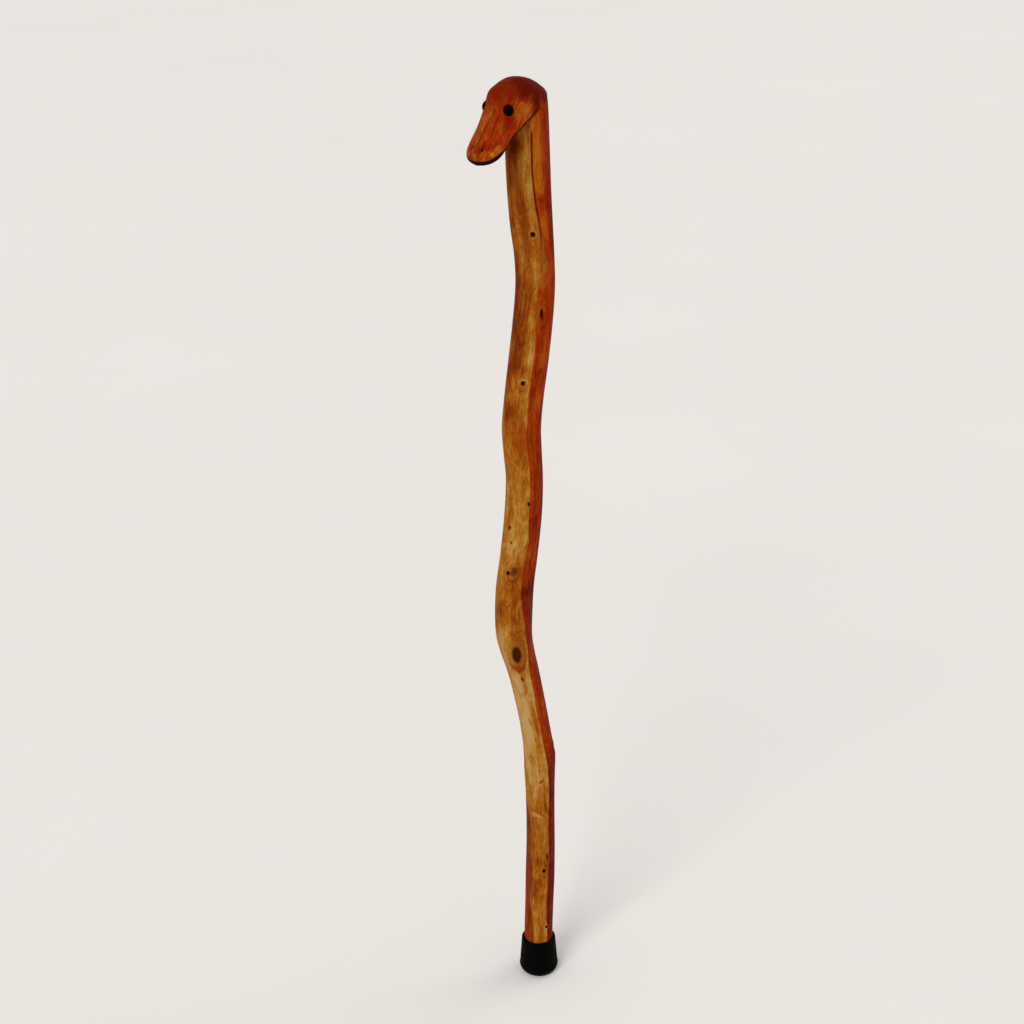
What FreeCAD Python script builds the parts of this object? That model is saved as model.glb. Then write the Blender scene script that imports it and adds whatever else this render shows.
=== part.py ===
import FreeCAD, Part
import math
import os

from FreeCAD import Matrix, Vector

# A carved walking stick: a peeled natural branch, a bird's head glued and dowelled on a slanted
# joint at its top, two glass eyes on wire stems, and a rubber ferrule that pulls off its foot.
# Millimetres. +Z runs up the stick, the bill points along -Y, and the bird's left side is +X.
# The origin is the centre of the face that the ferrule stands on.

# Branch
JOINT_HEIGHT = 876.6         # where the slanted joint crosses the neck's centre line
NECK_WIDTH = 38.9            # branch across its widest part, under the head
FOOT_WIDTH = 28.8            # branch just above the ferrule
BEND_REACH = 20.0            # largest swing of the branch in the plane of its bends
SIDE_REACH = 6.0             # largest swing square to that plane
BRANCH_SECTIONS = 56         # evenly spaced sections that the branch is drawn through
BEND_PLANE_TURN = 46.0       # degrees from +X to the plane of the bends
CORNER_TURN = 316.0          # degrees from +X to the branch's sharpest corner, before it winds
CORNER_WIND = 40.0           # how many degrees further round it winds at most
CORNER_STAND_SHARE = 1.02    # how far the corners stand out, as a share of the half width
FACET_STEP_SHARES = [0.167, 0.167, 0.152, 0.153, 0.153, 0.208]   # shares of the turn per facet

# Joint between branch and head
JOINT_SLOPE = 34.3           # degrees that the joint falls towards the bill
DOWEL_DIAMETER = 10.0
DOWEL_IN_NECK = 45.0
DOWEL_IN_HEAD = 15.0
DOWEL_CHAMFER = 1.0
GLUE_GAP = 0.1               # left all round each glued pin and at its ends

# Head
HEAD_LENGTH = 96.8           # along the joint, from the nape to the bill's tip
HEAD_DEPTH = 35.5            # square to the joint, at the forehead
BILL_DRIFT = 2.8             # how far the bill's tip has wandered to the bird's left
DRIFT_START_SHARE = 0.6
DOME_POWER = 2.3             # 2 is an ellipse, and more is squarer
DOME_POINTS = 12
NOSTRIL_DIAMETER = 2.6
NOSTRIL_DEPTH = 3.5
NOSTRIL_SPACING = 13.0       # between the two nostrils' centres
NOSTRIL_SHIFT = -0.6         # of their middle from the head's own, to the bird's left
EYE_DIAMETER = 9.4
EYE_BULGE = 2.3              # height of the glass dome
EYE_SEAT = 2.6               # depth of the glass below the dome
EYE_SINK = 0.7               # how far the dome's rim lies under the wood's surface
LEFT_EYE_TURN = 38.0         # degrees round the head's section from its left edge
RIGHT_EYE_TURN = 124.0
STEM_DIAMETER = 1.6
STEM_LENGTH = 9.0

# Ferrule
FERRULE_HEIGHT = 39.4
FERRULE_RIM_DIAMETER = 33.9
FERRULE_BASE_DIAMETER = 38.2
FERRULE_LIP_DIAMETER = 39.0
FERRULE_LIP_HEIGHT = 8.4     # of the lip's widest ring
FERRULE_LIP_FALL = 1.2       # height over which the lip falls back to the wall
FERRULE_TREAD_DIAMETER = 30.0
FERRULE_BORE_DIAMETER = 28.0
FERRULE_FLOOR = 8.0
FERRULE_RIM_ROUND = 1.2
WASHER_DIAMETER = 26.6
WASHER_HOLE = 6.0
WASHER_THICKNESS = 1.5
SLIDE_CLEARANCE = 0.05       # round the branch's foot in the ferrule's bore
SEAT_GAP = 0.1               # under the foot and under its shoulder
SPIGOT_CHAMFER = 1.0

OVERRUN = 30.0               # how far a cutting tool runs past what it cuts

# Height up the branch, swing in the bend plane, swing square to it, girth from foot (0) to
# neck (1), roundness of the facets (0 flat, 1 round) and how far round the corner has wound
BRANCH_SHARES = [
    (0.000, 0.005, 0.00, 0.00, 0.90, 0.925),
    (0.043, 0.050, 0.08, 0.00, 0.64, 0.750),
    (0.090, 0.120, 0.20, 0.04, 0.56, 0.790),
    (0.144, 0.170, 0.32, -0.05, 0.55, 0.840),
    (0.198, 0.175, 0.45, -0.02, 0.55, 0.910),
    (0.230, 0.160, 0.50, 0.15, 0.52, 0.850),
    (0.247, 0.155, 0.52, 0.22, 0.52, 0.710),
    (0.266, 0.080, 0.52, 0.10, 0.55, 0.675),
    (0.299, -0.110, 0.50, 0.04, 0.56, 0.675),
    (0.341, -0.420, 0.38, 0.12, 0.56, 0.720),
    (0.365, -0.620, 0.25, 0.24, 0.58, 0.790),
    (0.385, -0.820, 0.12, 0.41, 0.60, 0.910),
    (0.405, -0.960, 0.00, 0.57, 0.62, 1.000),
    (0.431, -0.985, -0.12, 0.67, 0.64, 0.800),
    (0.467, -0.920, -0.30, 0.74, 0.64, 0.450),
    (0.508, -0.700, -0.50, 0.71, 0.62, 0.410),
    (0.556, -0.480, -0.70, 0.68, 0.60, 0.420),
    (0.598, -0.395, -0.80, 0.62, 0.60, 0.450),
    (0.634, -0.460, -0.82, 0.73, 0.62, 0.375),
    (0.660, -0.490, -0.76, 0.78, 0.62, 0.360),
    (0.693, -0.355, -0.62, 0.78, 0.62, 0.310),
    (0.735, -0.125, -0.40, 0.83, 0.64, 0.310),
    (0.777, 0.090, -0.18, 0.81, 0.68, 0.200),
    (0.815, 0.210, 0.00, 0.72, 0.74, 0.275),
    (0.846, 0.185, 0.10, 0.73, 0.78, 0.250),
    (0.878, 0.080, 0.14, 0.92, 0.82, 0.225),
    (0.920, -0.010, 0.12, 1.00, 0.88, 0.200),
    (0.962, -0.060, 0.06, 0.99, 0.94, 0.175),
    (1.000, -0.100, 0.00, 0.92, 0.97, 0.150),
    (1.040, -0.110, 0.00, 0.30, 0.97, 0.150),
]

# Place along the joint from nape to tip, half width as a share of the neck's, and depth
HEAD_SHARES = [
    (0.020, 0.062, 0.045),
    (0.030, 0.285, 0.129),
    (0.054, 0.509, 0.244),
    (0.095, 0.720, 0.486),
    (0.145, 0.869, 0.662),
    (0.212, 0.965, 0.814),
    (0.290, 0.965, 0.913),
    (0.371, 0.948, 0.970),
    (0.454, 0.895, 1.000),
    (0.515, 0.900, 0.888),
    (0.621, 0.840, 0.698),
    (0.704, 0.895, 0.544),
    (0.777, 0.975, 0.425),
    (0.840, 1.015, 0.326),
    (0.897, 0.960, 0.250),
    (0.952, 0.750, 0.188),
    (0.984, 0.450, 0.116),
    (1.000, 0.060, 0.038),
]
LEFT_EYE_PLACE_SHARE = 0.520     # where along the head the eyes sit, which the carver set by eye
RIGHT_EYE_PLACE_SHARE = 0.550
NOSTRIL_PLACE_SHARE = 0.897
FACING_STEP_SHARE = 0.02         # step over which the dome's facing is measured

# Worked out from the sizes above
UP = Vector(0, 0, 1)
SLOPE = math.radians(JOINT_SLOPE)
SHOULDER_HEIGHT = FERRULE_HEIGHT + SEAT_GAP
SPIGOT_BOTTOM = FERRULE_FLOOR + WASHER_THICKNESS + SEAT_GAP
SPIGOT_RADIUS = FERRULE_BORE_DIAMETER / 2 - SLIDE_CLEARANCE
BRANCH_RISE = JOINT_HEIGHT - SHOULDER_HEIGHT
NAPE_REACH = NECK_WIDTH / 2 / math.cos(SLOPE)


def save(shape, node):
    """Writes one node's solid to its own file."""
    shape.exportStep(os.path.join("parts", node + ".step"))


def branch_centre(bend_share, side_share, height):
    """The branch's centre at one height, from its two swings."""
    turn = math.radians(BEND_PLANE_TURN)
    along = BEND_REACH * bend_share
    across = SIDE_REACH * side_share
    x = along * math.cos(turn) - across * math.sin(turn)
    y = along * math.sin(turn) + across * math.cos(turn)
    return Vector(x, y, height)


def row_slope(index, column):
    """How steeply one column of the branch's table runs at one row."""
    last = len(BRANCH_SHARES) - 1
    if index in (0, last):
        return 0.0
    before, after = BRANCH_SHARES[index - 1], BRANCH_SHARES[index + 1]
    return (after[column] - before[column]) / (after[0] - before[0])


def branch_row(height_share):
    """The branch's shares at any height, on a smooth curve through its table."""
    low = max(k for k in range(len(BRANCH_SHARES) - 1) if BRANCH_SHARES[k][0] <= height_share)
    start, end = BRANCH_SHARES[low], BRANCH_SHARES[low + 1]
    step = end[0] - start[0]
    t = (height_share - start[0]) / step
    ease = t * t * (3 - 2 * t)
    lead = t * (1 - t) ** 2 * step
    trail = t * t * (t - 1) * step
    row = [height_share]
    for column in range(1, len(start)):
        rise = (end[column] - start[column]) * ease
        row.append(start[column] + rise + row_slope(low, column) * lead + row_slope(low + 1, column) * trail)
    return row


def branch_section(height_share, bend_share, side_share, girth_share, round_share, wind_share):
    """One six-sided section of the branch, each side a slightly crowned arc."""
    centre = branch_centre(bend_share, side_share, SHOULDER_HEIGHT + BRANCH_RISE * height_share)
    half_width = (FOOT_WIDTH + (NECK_WIDTH - FOOT_WIDTH) * girth_share) / 2
    radius = half_width * (round_share + (1 - round_share) * CORNER_STAND_SHARE)
    turn = math.radians(CORNER_TURN + CORNER_WIND * wind_share)
    edges = []
    for share in FACET_STEP_SHARES:
        step = 2 * math.pi * share
        flat = math.cos(step / 2)
        crown = radius * (flat + (1 - flat) * round_share)
        ends = [Vector(math.cos(a), math.sin(a), 0) * radius for a in (turn, turn + step)]
        middle = Vector(math.cos(turn + step / 2), math.sin(turn + step / 2), 0) * crown
        edges.append(Part.Arc(centre + ends[0], centre + middle, centre + ends[1]).toShape())
        turn += step
    return Part.Wire(edges)


def neck_centre():
    """Where the branch's centre line meets the joint."""
    row = branch_row(1.0)
    return branch_centre(row[1], row[2], JOINT_HEIGHT)


def head_placement():
    """From head places (down the joint, to the left, square to the joint) to the stick's frame."""
    down = Vector(0, -math.cos(SLOPE), -math.sin(SLOPE))
    left = Vector(1, 0, 0)
    out = Vector(0, -math.sin(SLOPE), math.cos(SLOPE))
    at = neck_centre()
    return FreeCAD.Placement(Matrix(down.x, left.x, out.x, at.x, down.y, left.y, out.y, at.y,
                                    down.z, left.z, out.z, at.z))


def placed(shape):
    """A shape made in head places, moved to its place on the stick."""
    return shape.transformed(head_placement().toMatrix())


def head_row(place_share):
    """Place along the joint, half width, depth and sideways drift at one share of the head's length."""
    high = next(k for k in range(1, len(HEAD_SHARES)) if HEAD_SHARES[k][0] >= place_share)
    before, after = HEAD_SHARES[high - 1], HEAD_SHARES[high]
    t = (place_share - before[0]) / (after[0] - before[0])
    width_share, depth_share = [before[c] * (1 - t) + after[c] * t for c in (1, 2)]
    drift_share = max(0.0, (place_share - DRIFT_START_SHARE) / (1 - DRIFT_START_SHARE))
    along = HEAD_LENGTH * place_share - NAPE_REACH
    return along, NECK_WIDTH / 2 * width_share, HEAD_DEPTH * depth_share, BILL_DRIFT * drift_share ** 2


def dome_point(place_share, turn):
    """A point of the head's surface, turned round one section from its left edge."""
    along, half_width, depth, drift = head_row(place_share)
    power = 2 / DOME_POWER
    across = math.copysign(abs(math.cos(turn)) ** power, math.cos(turn))
    return Vector(along, drift + half_width * across, depth * math.sin(turn) ** power)


def head_section(place_share):
    """One section of the head: a flat underside and a dome over it."""
    points = [dome_point(place_share, math.pi * k / DOME_POINTS) for k in range(1, DOME_POINTS)]
    along, half_width, _, drift = head_row(place_share)
    left = Vector(along, drift + half_width, 0)
    right = Vector(along, drift - half_width, 0)
    dome = Part.BSplineCurve()
    dome.interpolate([left] + points + [right])
    return Part.Wire([dome.toShape(), Part.makeLine(right, left)])


def dome_facing(place_share, turn):
    """The way that the head's surface faces at one of its points."""
    step = FACING_STEP_SHARE
    along = dome_point(place_share + step, turn) - dome_point(place_share - step, turn)
    around = dome_point(place_share, turn + step) - dome_point(place_share, turn - step)
    return around.cross(along).normalize()


def nostril_axis(side):
    """Where a nostril's axis meets the top of the bill, and the way that it faces, in head places."""
    _, half_width, _, drift = head_row(NOSTRIL_PLACE_SHARE)
    across_share = (NOSTRIL_SHIFT + side * NOSTRIL_SPACING / 2 - drift) / half_width
    turn = math.acos(math.copysign(abs(across_share) ** (DOME_POWER / 2), across_share))
    return dome_point(NOSTRIL_PLACE_SHARE, turn), dome_facing(NOSTRIL_PLACE_SHARE, turn)


def eye_axis(side):
    """Where an eye's axis meets the wood, and the way the eye looks, in head places."""
    place_share, turn = LEFT_EYE_PLACE_SHARE, math.radians(LEFT_EYE_TURN)
    if side < 0:
        place_share, turn = RIGHT_EYE_PLACE_SHARE, math.radians(RIGHT_EYE_TURN)
    return dome_point(place_share, turn), dome_facing(place_share, turn)


def rod(radius, start, way, length):
    """A plain round rod from a point along a way."""
    return Part.makeCylinder(radius, length, start, way)


def make_eye(side):
    """A glass eye: a dome on a short round seat, with a hole for its wire."""
    at, look = eye_axis(side)
    radius = EYE_DIAMETER / 2
    ball = (radius ** 2 + EYE_BULGE ** 2) / (2 * EYE_BULGE)
    bottom = -UP * (EYE_SINK + EYE_SEAT)
    seat = rod(radius, bottom, UP, EYE_SEAT + EYE_BULGE)
    dome = Part.makeSphere(ball, UP * (EYE_BULGE - EYE_SINK - ball))
    wire_hole = rod(STEM_DIAMETER / 2 + GLUE_GAP / 2, bottom - UP * GLUE_GAP, UP, EYE_SEAT)
    eye = seat.common(dome).cut(wire_hole)
    return eye.transformed(FreeCAD.Placement(at, FreeCAD.Rotation(UP, look)).toMatrix())


def make_stem(side):
    """The wire stem behind an eye, from inside the glass down into the wood."""
    at, look = eye_axis(side)
    inner = at - look * (EYE_SINK + EYE_SEAT + STEM_LENGTH)
    return rod(STEM_DIAMETER / 2, inner, look, STEM_LENGTH + EYE_SEAT - 2 * GLUE_GAP)


def make_head():
    """The carved head with its dowel hole, eye sockets and nostrils."""
    head = Part.makeLoft([head_section(row[0]) for row in HEAD_SHARES], True, False)
    for side in (1, -1):
        at, look = eye_axis(side)
        socket_depth = EYE_SINK + EYE_SEAT + GLUE_GAP
        head = head.cut(rod(EYE_DIAMETER / 2 + GLUE_GAP, at - look * socket_depth, look, OVERRUN))
        stem_depth = EYE_SINK + EYE_SEAT + STEM_LENGTH + GLUE_GAP
        head = head.cut(rod(STEM_DIAMETER / 2 + GLUE_GAP, at - look * stem_depth, look, stem_depth))
        mouth, facing = nostril_axis(side)
        head = head.cut(rod(NOSTRIL_DIAMETER / 2, mouth - facing * NOSTRIL_DEPTH, facing, OVERRUN))
    return head


def make_shaft():
    """The branch, cut to the joint's slope, with its dowel hole and whittled foot."""
    top_share = BRANCH_SHARES[-1][0]
    rows = [branch_row(top_share * k / BRANCH_SECTIONS) for k in range(BRANCH_SECTIONS + 1)]
    branch = Part.makeLoft([branch_section(*row) for row in rows], True, True)
    above = Part.makeBox(2 * HEAD_LENGTH, 2 * HEAD_LENGTH, 2 * HEAD_LENGTH)
    above.translate(Vector(-HEAD_LENGTH, -HEAD_LENGTH, 0))
    branch = branch.cut(placed(above))
    spigot_length = SHOULDER_HEIGHT - SPIGOT_BOTTOM
    spigot = Part.makeCylinder(SPIGOT_RADIUS, spigot_length, Vector(0, 0, SPIGOT_BOTTOM))
    lowest = min((e for e in spigot.Edges if e.Closed), key=lambda e: e.CenterOfMass.z)
    spigot = spigot.makeChamfer(SPIGOT_CHAMFER, [lowest])
    return branch.fuse(spigot)


def make_dowel(gap=0.0):
    """The hidden dowel along the neck, or the hole for it when a gap is given."""
    start = neck_centre() - UP * (DOWEL_IN_NECK + gap)
    length = DOWEL_IN_NECK + DOWEL_IN_HEAD + 2 * gap
    pin = Part.makeCylinder(DOWEL_DIAMETER / 2 + gap, length, start)
    if gap:
        return pin
    return pin.makeChamfer(DOWEL_CHAMFER, [e for e in pin.Edges if e.Closed])


def make_ferrule():
    """The rubber ferrule: a turned cup with a rounded foot, a lip and a rounded rim."""
    rim = FERRULE_RIM_DIAMETER / 2
    base = FERRULE_BASE_DIAMETER / 2
    lip = FERRULE_LIP_DIAMETER / 2
    tread = FERRULE_TREAD_DIAMETER / 2
    bore = FERRULE_BORE_DIAMETER / 2
    side_step = lip - tread
    round_radius = (side_step ** 2 + FERRULE_LIP_HEIGHT ** 2) / (2 * side_step)
    half_turn = math.asin(FERRULE_LIP_HEIGHT / round_radius) / 2
    ground = Vector(tread, 0, 0)
    foot_round = Vector(lip - round_radius * (1 - math.cos(half_turn)), 0,
                        FERRULE_LIP_HEIGHT - round_radius * math.sin(half_turn))
    lip_point = Vector(lip, 0, FERRULE_LIP_HEIGHT)
    wall_low = Vector(base, 0, FERRULE_LIP_HEIGHT + FERRULE_LIP_FALL)
    rim_low = Vector(rim, 0, FERRULE_HEIGHT - FERRULE_RIM_ROUND)
    inset = FERRULE_RIM_ROUND * (1 - math.sqrt(0.5))
    rim_middle = Vector(rim - inset, 0, FERRULE_HEIGHT - inset)
    rim_top = Vector(rim - FERRULE_RIM_ROUND, 0, FERRULE_HEIGHT)
    edges = [
        Part.makeLine(Vector(0, 0, 0), ground),
        Part.Arc(ground, foot_round, lip_point).toShape(),
        Part.makeLine(lip_point, wall_low),
        Part.makeLine(wall_low, rim_low),
        Part.Arc(rim_low, rim_middle, rim_top).toShape(),
        Part.makeLine(rim_top, Vector(bore, 0, FERRULE_HEIGHT)),
        Part.makeLine(Vector(bore, 0, FERRULE_HEIGHT), Vector(bore, 0, FERRULE_FLOOR)),
        Part.makeLine(Vector(bore, 0, FERRULE_FLOOR), Vector(0, 0, FERRULE_FLOOR)),
        Part.makeLine(Vector(0, 0, FERRULE_FLOOR), Vector(0, 0, 0)),
    ]
    return Part.Face(Part.Wire(edges)).revolve(Vector(0, 0, 0), UP, 360)


def make_washer():
    """The steel washer on the ferrule's floor, under the branch's foot."""
    at = Vector(0, 0, FERRULE_FLOOR)
    disc = Part.makeCylinder(WASHER_DIAMETER / 2, WASHER_THICKNESS, at)
    return disc.cut(Part.makeCylinder(WASHER_HOLE / 2, WASHER_THICKNESS, at))


def main():
    """Makes every node and writes it out."""
    os.makedirs("parts", exist_ok=True)
    dowel_hole = make_dowel(GLUE_GAP)
    solids = {
        "shaft": make_shaft().cut(dowel_hole),
        "head": placed(make_head()).cut(dowel_hole),
        "joint_dowel": make_dowel(),
        "left_eye": placed(make_eye(1)),
        "right_eye": placed(make_eye(-1)),
        "left_eye_stem": placed(make_stem(1)),
        "right_eye_stem": placed(make_stem(-1)),
        "ferrule": make_ferrule(),
        "ferrule_washer": make_washer(),
    }
    for node, shape in solids.items():
        box = shape.BoundBox
        print(f"{node}: {len(shape.Solids)} solid, valid {shape.isValid()}, {shape.Volume:.0f} mm3, "
              f"{box.XLength:.1f} x {box.YLength:.1f} x {box.ZLength:.1f}, from z {box.ZMin:.1f}")
        save(shape, node)


main()
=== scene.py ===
import logging
import math
from collections.abc import Callable
from dataclasses import dataclass, field
from enum import Enum

import bpy
import numpy as np
from mathutils import Matrix, Vector, noise


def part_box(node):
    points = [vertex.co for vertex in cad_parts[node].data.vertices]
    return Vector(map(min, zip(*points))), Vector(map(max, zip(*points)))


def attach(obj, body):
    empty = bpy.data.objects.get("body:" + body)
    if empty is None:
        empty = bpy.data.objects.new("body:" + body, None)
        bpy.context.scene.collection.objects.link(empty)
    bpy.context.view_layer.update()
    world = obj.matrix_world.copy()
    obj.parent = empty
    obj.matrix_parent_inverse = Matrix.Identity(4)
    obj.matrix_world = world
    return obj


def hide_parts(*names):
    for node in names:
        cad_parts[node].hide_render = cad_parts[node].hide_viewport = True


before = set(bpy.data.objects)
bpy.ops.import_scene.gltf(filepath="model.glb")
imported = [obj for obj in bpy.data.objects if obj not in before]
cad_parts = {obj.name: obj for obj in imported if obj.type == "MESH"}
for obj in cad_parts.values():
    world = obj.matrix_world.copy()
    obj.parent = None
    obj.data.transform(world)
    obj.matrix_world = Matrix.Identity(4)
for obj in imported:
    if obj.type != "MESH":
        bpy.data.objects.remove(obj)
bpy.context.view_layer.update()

# A walking stick cut from a peeled, bent branch, with a carved bird's head on a slanted joint,
# black domed eyes and a rubber ferrule. Metres, in the part's own frame: +Z runs up the stick,
# the bill points along -Y, and the bird's left side is +X.

LOG = logging.getLogger("walking_stick")
MM = 0.001
Colour = tuple[float, float, float]
Shade = tuple[float, Colour]
Points = np.ndarray
Object = bpy.types.Object
Material = bpy.types.Material
Socket = bpy.types.NodeSocket
Level = float | Socket
Paint = Colour | Socket
Outline = list[tuple[float, float]]
Table = tuple[tuple[float, ...], ...]


class Body(Enum):
    """The two bodies that the pieces ride on."""

    TIP = "tip"
    STICK = "stick"


class MarkKind(Enum):
    """What nature or the knife left on the branch."""

    PIN_HOLE = "pin_hole"
    SLIT = "slit"
    KNOT = "knot"
    SMUDGE = "smudge"
    CURL = "curl"
    PALE = "pale"


class Curve(Enum):
    """How a value runs from one end of its range to the other."""

    SMOOTH = "SMOOTHSTEP"
    LINE = "LINEAR"


class Blend(Enum):
    """How two colours mix."""

    MIX = "MIX"
    MULTIPLY = "MULTIPLY"


@dataclass(frozen=True)
class Skin:
    """Places on the branch: heights in metres, turns in degrees, and distances from its centre in metres."""

    height: Points
    turn: Points
    radius: Points

    def across(self, turn: Points) -> Points:
        """Metres round the branch from a turn to each place."""
        return np.radians(wrapped(self.turn - turn)) * self.radius

    def unbent(self, turn: Points) -> Points:
        """The places on a straight branch, each at another turn."""
        angle = np.radians(turn)
        return np.stack([self.radius * np.cos(angle), self.radius * np.sin(angle), self.height], -1)


@dataclass(frozen=True)
class Mark:
    """One mark on the branch, by its height and its turn round the branch."""

    kind: MarkKind
    height: float
    turn: float
    width: float
    length: float
    lean: float = 0.0
    strength: float = 1.0

    def offsets(self, skin: Skin) -> tuple[Points, Points]:
        """Distances from the mark's middle.

        Args:
            skin: the places on the branch.

        Returns:
            The distances across and along the mark, in metres.
        """
        across, along = skin.across(self.turn), skin.height - self.height * MM
        lean = math.radians(self.lean)
        return (across * math.cos(lean) + along * math.sin(lean),
                along * math.cos(lean) - across * math.sin(lean))

    def reach(self, skin: Skin) -> Points:
        """How far each place lies from the mark's middle, as a share of the mark's own half size."""
        across, along = self.offsets(skin)
        return np.hypot(across / (self.width * MM / 2), along / (self.length * MM / 2))


@dataclass(frozen=True)
class Tint:
    """A patch where the wood's colour changes, by its height and its turn, with its reach each way."""

    height: float
    turn: float
    width: float
    length: float
    strength: float

    def reach(self, skin: Skin) -> Points:
        """How strongly the tint colours each place."""
        off = skin.height / MM - self.height
        return self.strength * (bell(skin.across(self.turn) / MM, self.width) * bell(off, self.length))


class SmoothTable:
    """Columns of values over one rising column, joined by smooth curves."""

    def __init__(self, rows: Table) -> None:
        """Works out the slope of every column at every row.

        Args:
            rows: the table's rows, with the rising column first.
        """
        table = np.array(rows, float)
        self.at = table[:, 0]
        self.values = table[:, 1:]
        self.slopes = np.zeros_like(self.values)
        run = (self.at[2:] - self.at[:-2])[:, None]
        self.slopes[1:-1] = (self.values[2:] - self.values[:-2]) / run

    def __call__(self, place: Points) -> Points:
        """Reads the table at any places.

        Args:
            place: places on the rising column.

        Returns:
            One row of values for each place.
        """
        place = np.asarray(place, float)
        low = np.clip(np.searchsorted(self.at, place, side="right") - 1, 0, len(self.at) - 2)
        step = self.at[low + 1] - self.at[low]
        t = np.clip((place - self.at[low]) / step, 0, 1)[..., None]
        step = step[..., None]
        rise = (self.values[low + 1] - self.values[low]) * t * t * (3 - 2 * t)
        lead = self.slopes[low] * t * (1 - t) ** 2 * step
        trail = self.slopes[low + 1] * t * t * (t - 1) * step
        return self.values[low] + rise + lead + trail


def ease(low: float, high: float, value: Points) -> Points:
    """Rises smoothly from 0 at low to 1 at high.

    Args:
        low: where the rise starts.
        high: where it ends.
        value: the places to read it at.

    Returns:
        The eased values.
    """
    t = np.clip((np.asarray(value, float) - low) / (high - low), 0, 1)
    return t * t * (3 - 2 * t)


def bell(value: Points, width: float) -> Points:
    """A bell curve of height 1 about 0.

    Args:
        value: the distances from the middle.
        width: the distance at which it has fallen to about a third.

    Returns:
        The curve's heights.
    """
    return np.exp(-(np.asarray(value, float) / width) ** 2)


def wrapped(turn: Points) -> Points:
    """Brings turns in degrees between -180 and 180."""
    return (np.asarray(turn, float) + 180) % 360 - 180


def grain_noise(points: Points, across: float, along: float, seed: float) -> Points:
    """Smooth noise that is drawn out along the last axis, as wood grain is.

    Args:
        points: places in metres, one row each.
        across: the noise's size across the grain.
        along: its size along the grain.
        seed: an offset that gives each use its own noise.

    Returns:
        Values from about -1 to 1.
    """
    scaled = points / np.array([across, across, along]) + seed
    return np.array([noise.noise(p) for p in scaled.tolist()])


def spaced(start: float, end: float, spacing: Callable[[float], float]) -> list[float]:
    """Walks from start to end in steps that a function gives.

    Args:
        start: the first place.
        end: the last place.
        spacing: a function from a place to the step wanted there.

    Returns:
        The places, with both ends, at slightly shortened steps.
    """
    places = [start]
    while places[-1] < end:
        places.append(places[-1] + spacing(places[-1]))
    shrink = (end - start) / (places[-1] - start)
    return [start + (p - start) * shrink for p in places]


def ring_faces(rings: int, columns: int) -> list[tuple[int, ...]]:
    """Faces of a tube made of closed rings, each with as many points.

    Args:
        rings: how many rings the tube has.
        columns: how many points each ring has.

    Returns:
        The faces, each facing outwards where rings run upwards and columns anticlockwise.
    """
    faces = []
    for i in range(rings - 1):
        low, high = i * columns, (i + 1) * columns
        for j in range(columns):
            k = (j + 1) % columns
            faces.append((low + j, low + k, high + k, high + j))
    return faces


def new_piece(name: str, points: Points, faces: list[tuple[int, ...]]) -> Object:
    """Makes a mesh object at the origin.

    Args:
        name: the piece's name.
        points: its points in metres.
        faces: its faces.

    Returns:
        The new object.
    """
    mesh = bpy.data.meshes.new(name)
    mesh.from_pydata(np.asarray(points, float).tolist(), [], faces)
    mesh.validate()
    mesh.update()
    piece = bpy.data.objects.new(name, mesh)
    bpy.context.scene.collection.objects.link(piece)
    return piece


def turned_piece(name: str, outline: Outline, segments: int) -> Object:
    """Makes a piece turned about the Z axis.

    Args:
        name: the piece's name.
        outline: radius and height from the bottom's centre, round the outside, to the top's centre.
        segments: how many steps the turning has.

    Returns:
        The new object, closed at both centres.
    """
    angles = np.arange(segments) * 2 * math.pi / segments
    inner = outline[1:-1]
    points = [(r * math.cos(a), r * math.sin(a), z) for r, z in inner for a in angles]
    faces = ring_faces(len(inner), segments)
    for centre, ring, flip in ((outline[0], 0, True), (outline[-1], len(inner) - 1, False)):
        points.append((0.0, 0.0, centre[1]))
        hub = len(points) - 1
        for j in range(segments):
            rim = (ring * segments + j, ring * segments + (j + 1) % segments)
            faces.append((hub, *reversed(rim)) if flip else (hub, *rim))
    return new_piece(name, np.array(points), faces)


def carved(piece: Object, tools: list[Object]) -> None:
    """Cuts tools out of a piece and removes them.

    Args:
        piece: the piece to cut.
        tools: closed meshes to take away from it.
    """
    for tool in tools:
        cut = piece.modifiers.new("cut", "BOOLEAN")
        cut.operation = "DIFFERENCE"
        cut.solver = "EXACT"
        cut.object = tool
    graph = bpy.context.evaluated_depsgraph_get()
    mesh = bpy.data.meshes.new_from_object(piece.evaluated_get(graph))
    piece.modifiers.clear()
    old = piece.data
    piece.data = mesh
    mesh.name = piece.name
    bpy.data.meshes.remove(old)
    for tool in tools:
        bpy.data.objects.remove(tool)


def smooth_shaded(piece: Object, crease: float) -> None:
    """Shades a piece smooth, apart from its sharp edges.

    Args:
        piece: the piece to shade.
        crease: degrees between two faces past which their edge stays sharp.
    """
    mesh = piece.data
    mesh.shade_smooth()
    mesh.set_sharp_from_angle(angle=math.radians(crease))


def place_array(piece: Object) -> Points:
    """Reads the places of a piece's points.

    Args:
        piece: the piece.

    Returns:
        The places, one row each.
    """
    flat = np.zeros(len(piece.data.vertices) * 3, np.float32)
    piece.data.vertices.foreach_get("co", flat)
    return flat.reshape(-1, 3).astype(float)


def store(piece: Object, name: str, values: Points) -> None:
    """Keeps a number or a place for each point, for the piece's material to read.

    Args:
        piece: the piece whose points they are.
        name: the name that the material reads them by.
        values: the numbers, or the places, one row each.
    """
    kind, part = ("FLOAT_VECTOR", "vector") if np.ndim(values) == 2 else ("FLOAT", "value")
    layer = piece.data.attributes.new(name, kind, "POINT")
    layer.data.foreach_set(part, np.asarray(values, np.float32).ravel())


def coat(piece: Object, material: Material) -> None:
    """Gives a piece one material."""
    piece.data.materials.clear()
    piece.data.materials.append(material)


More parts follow.
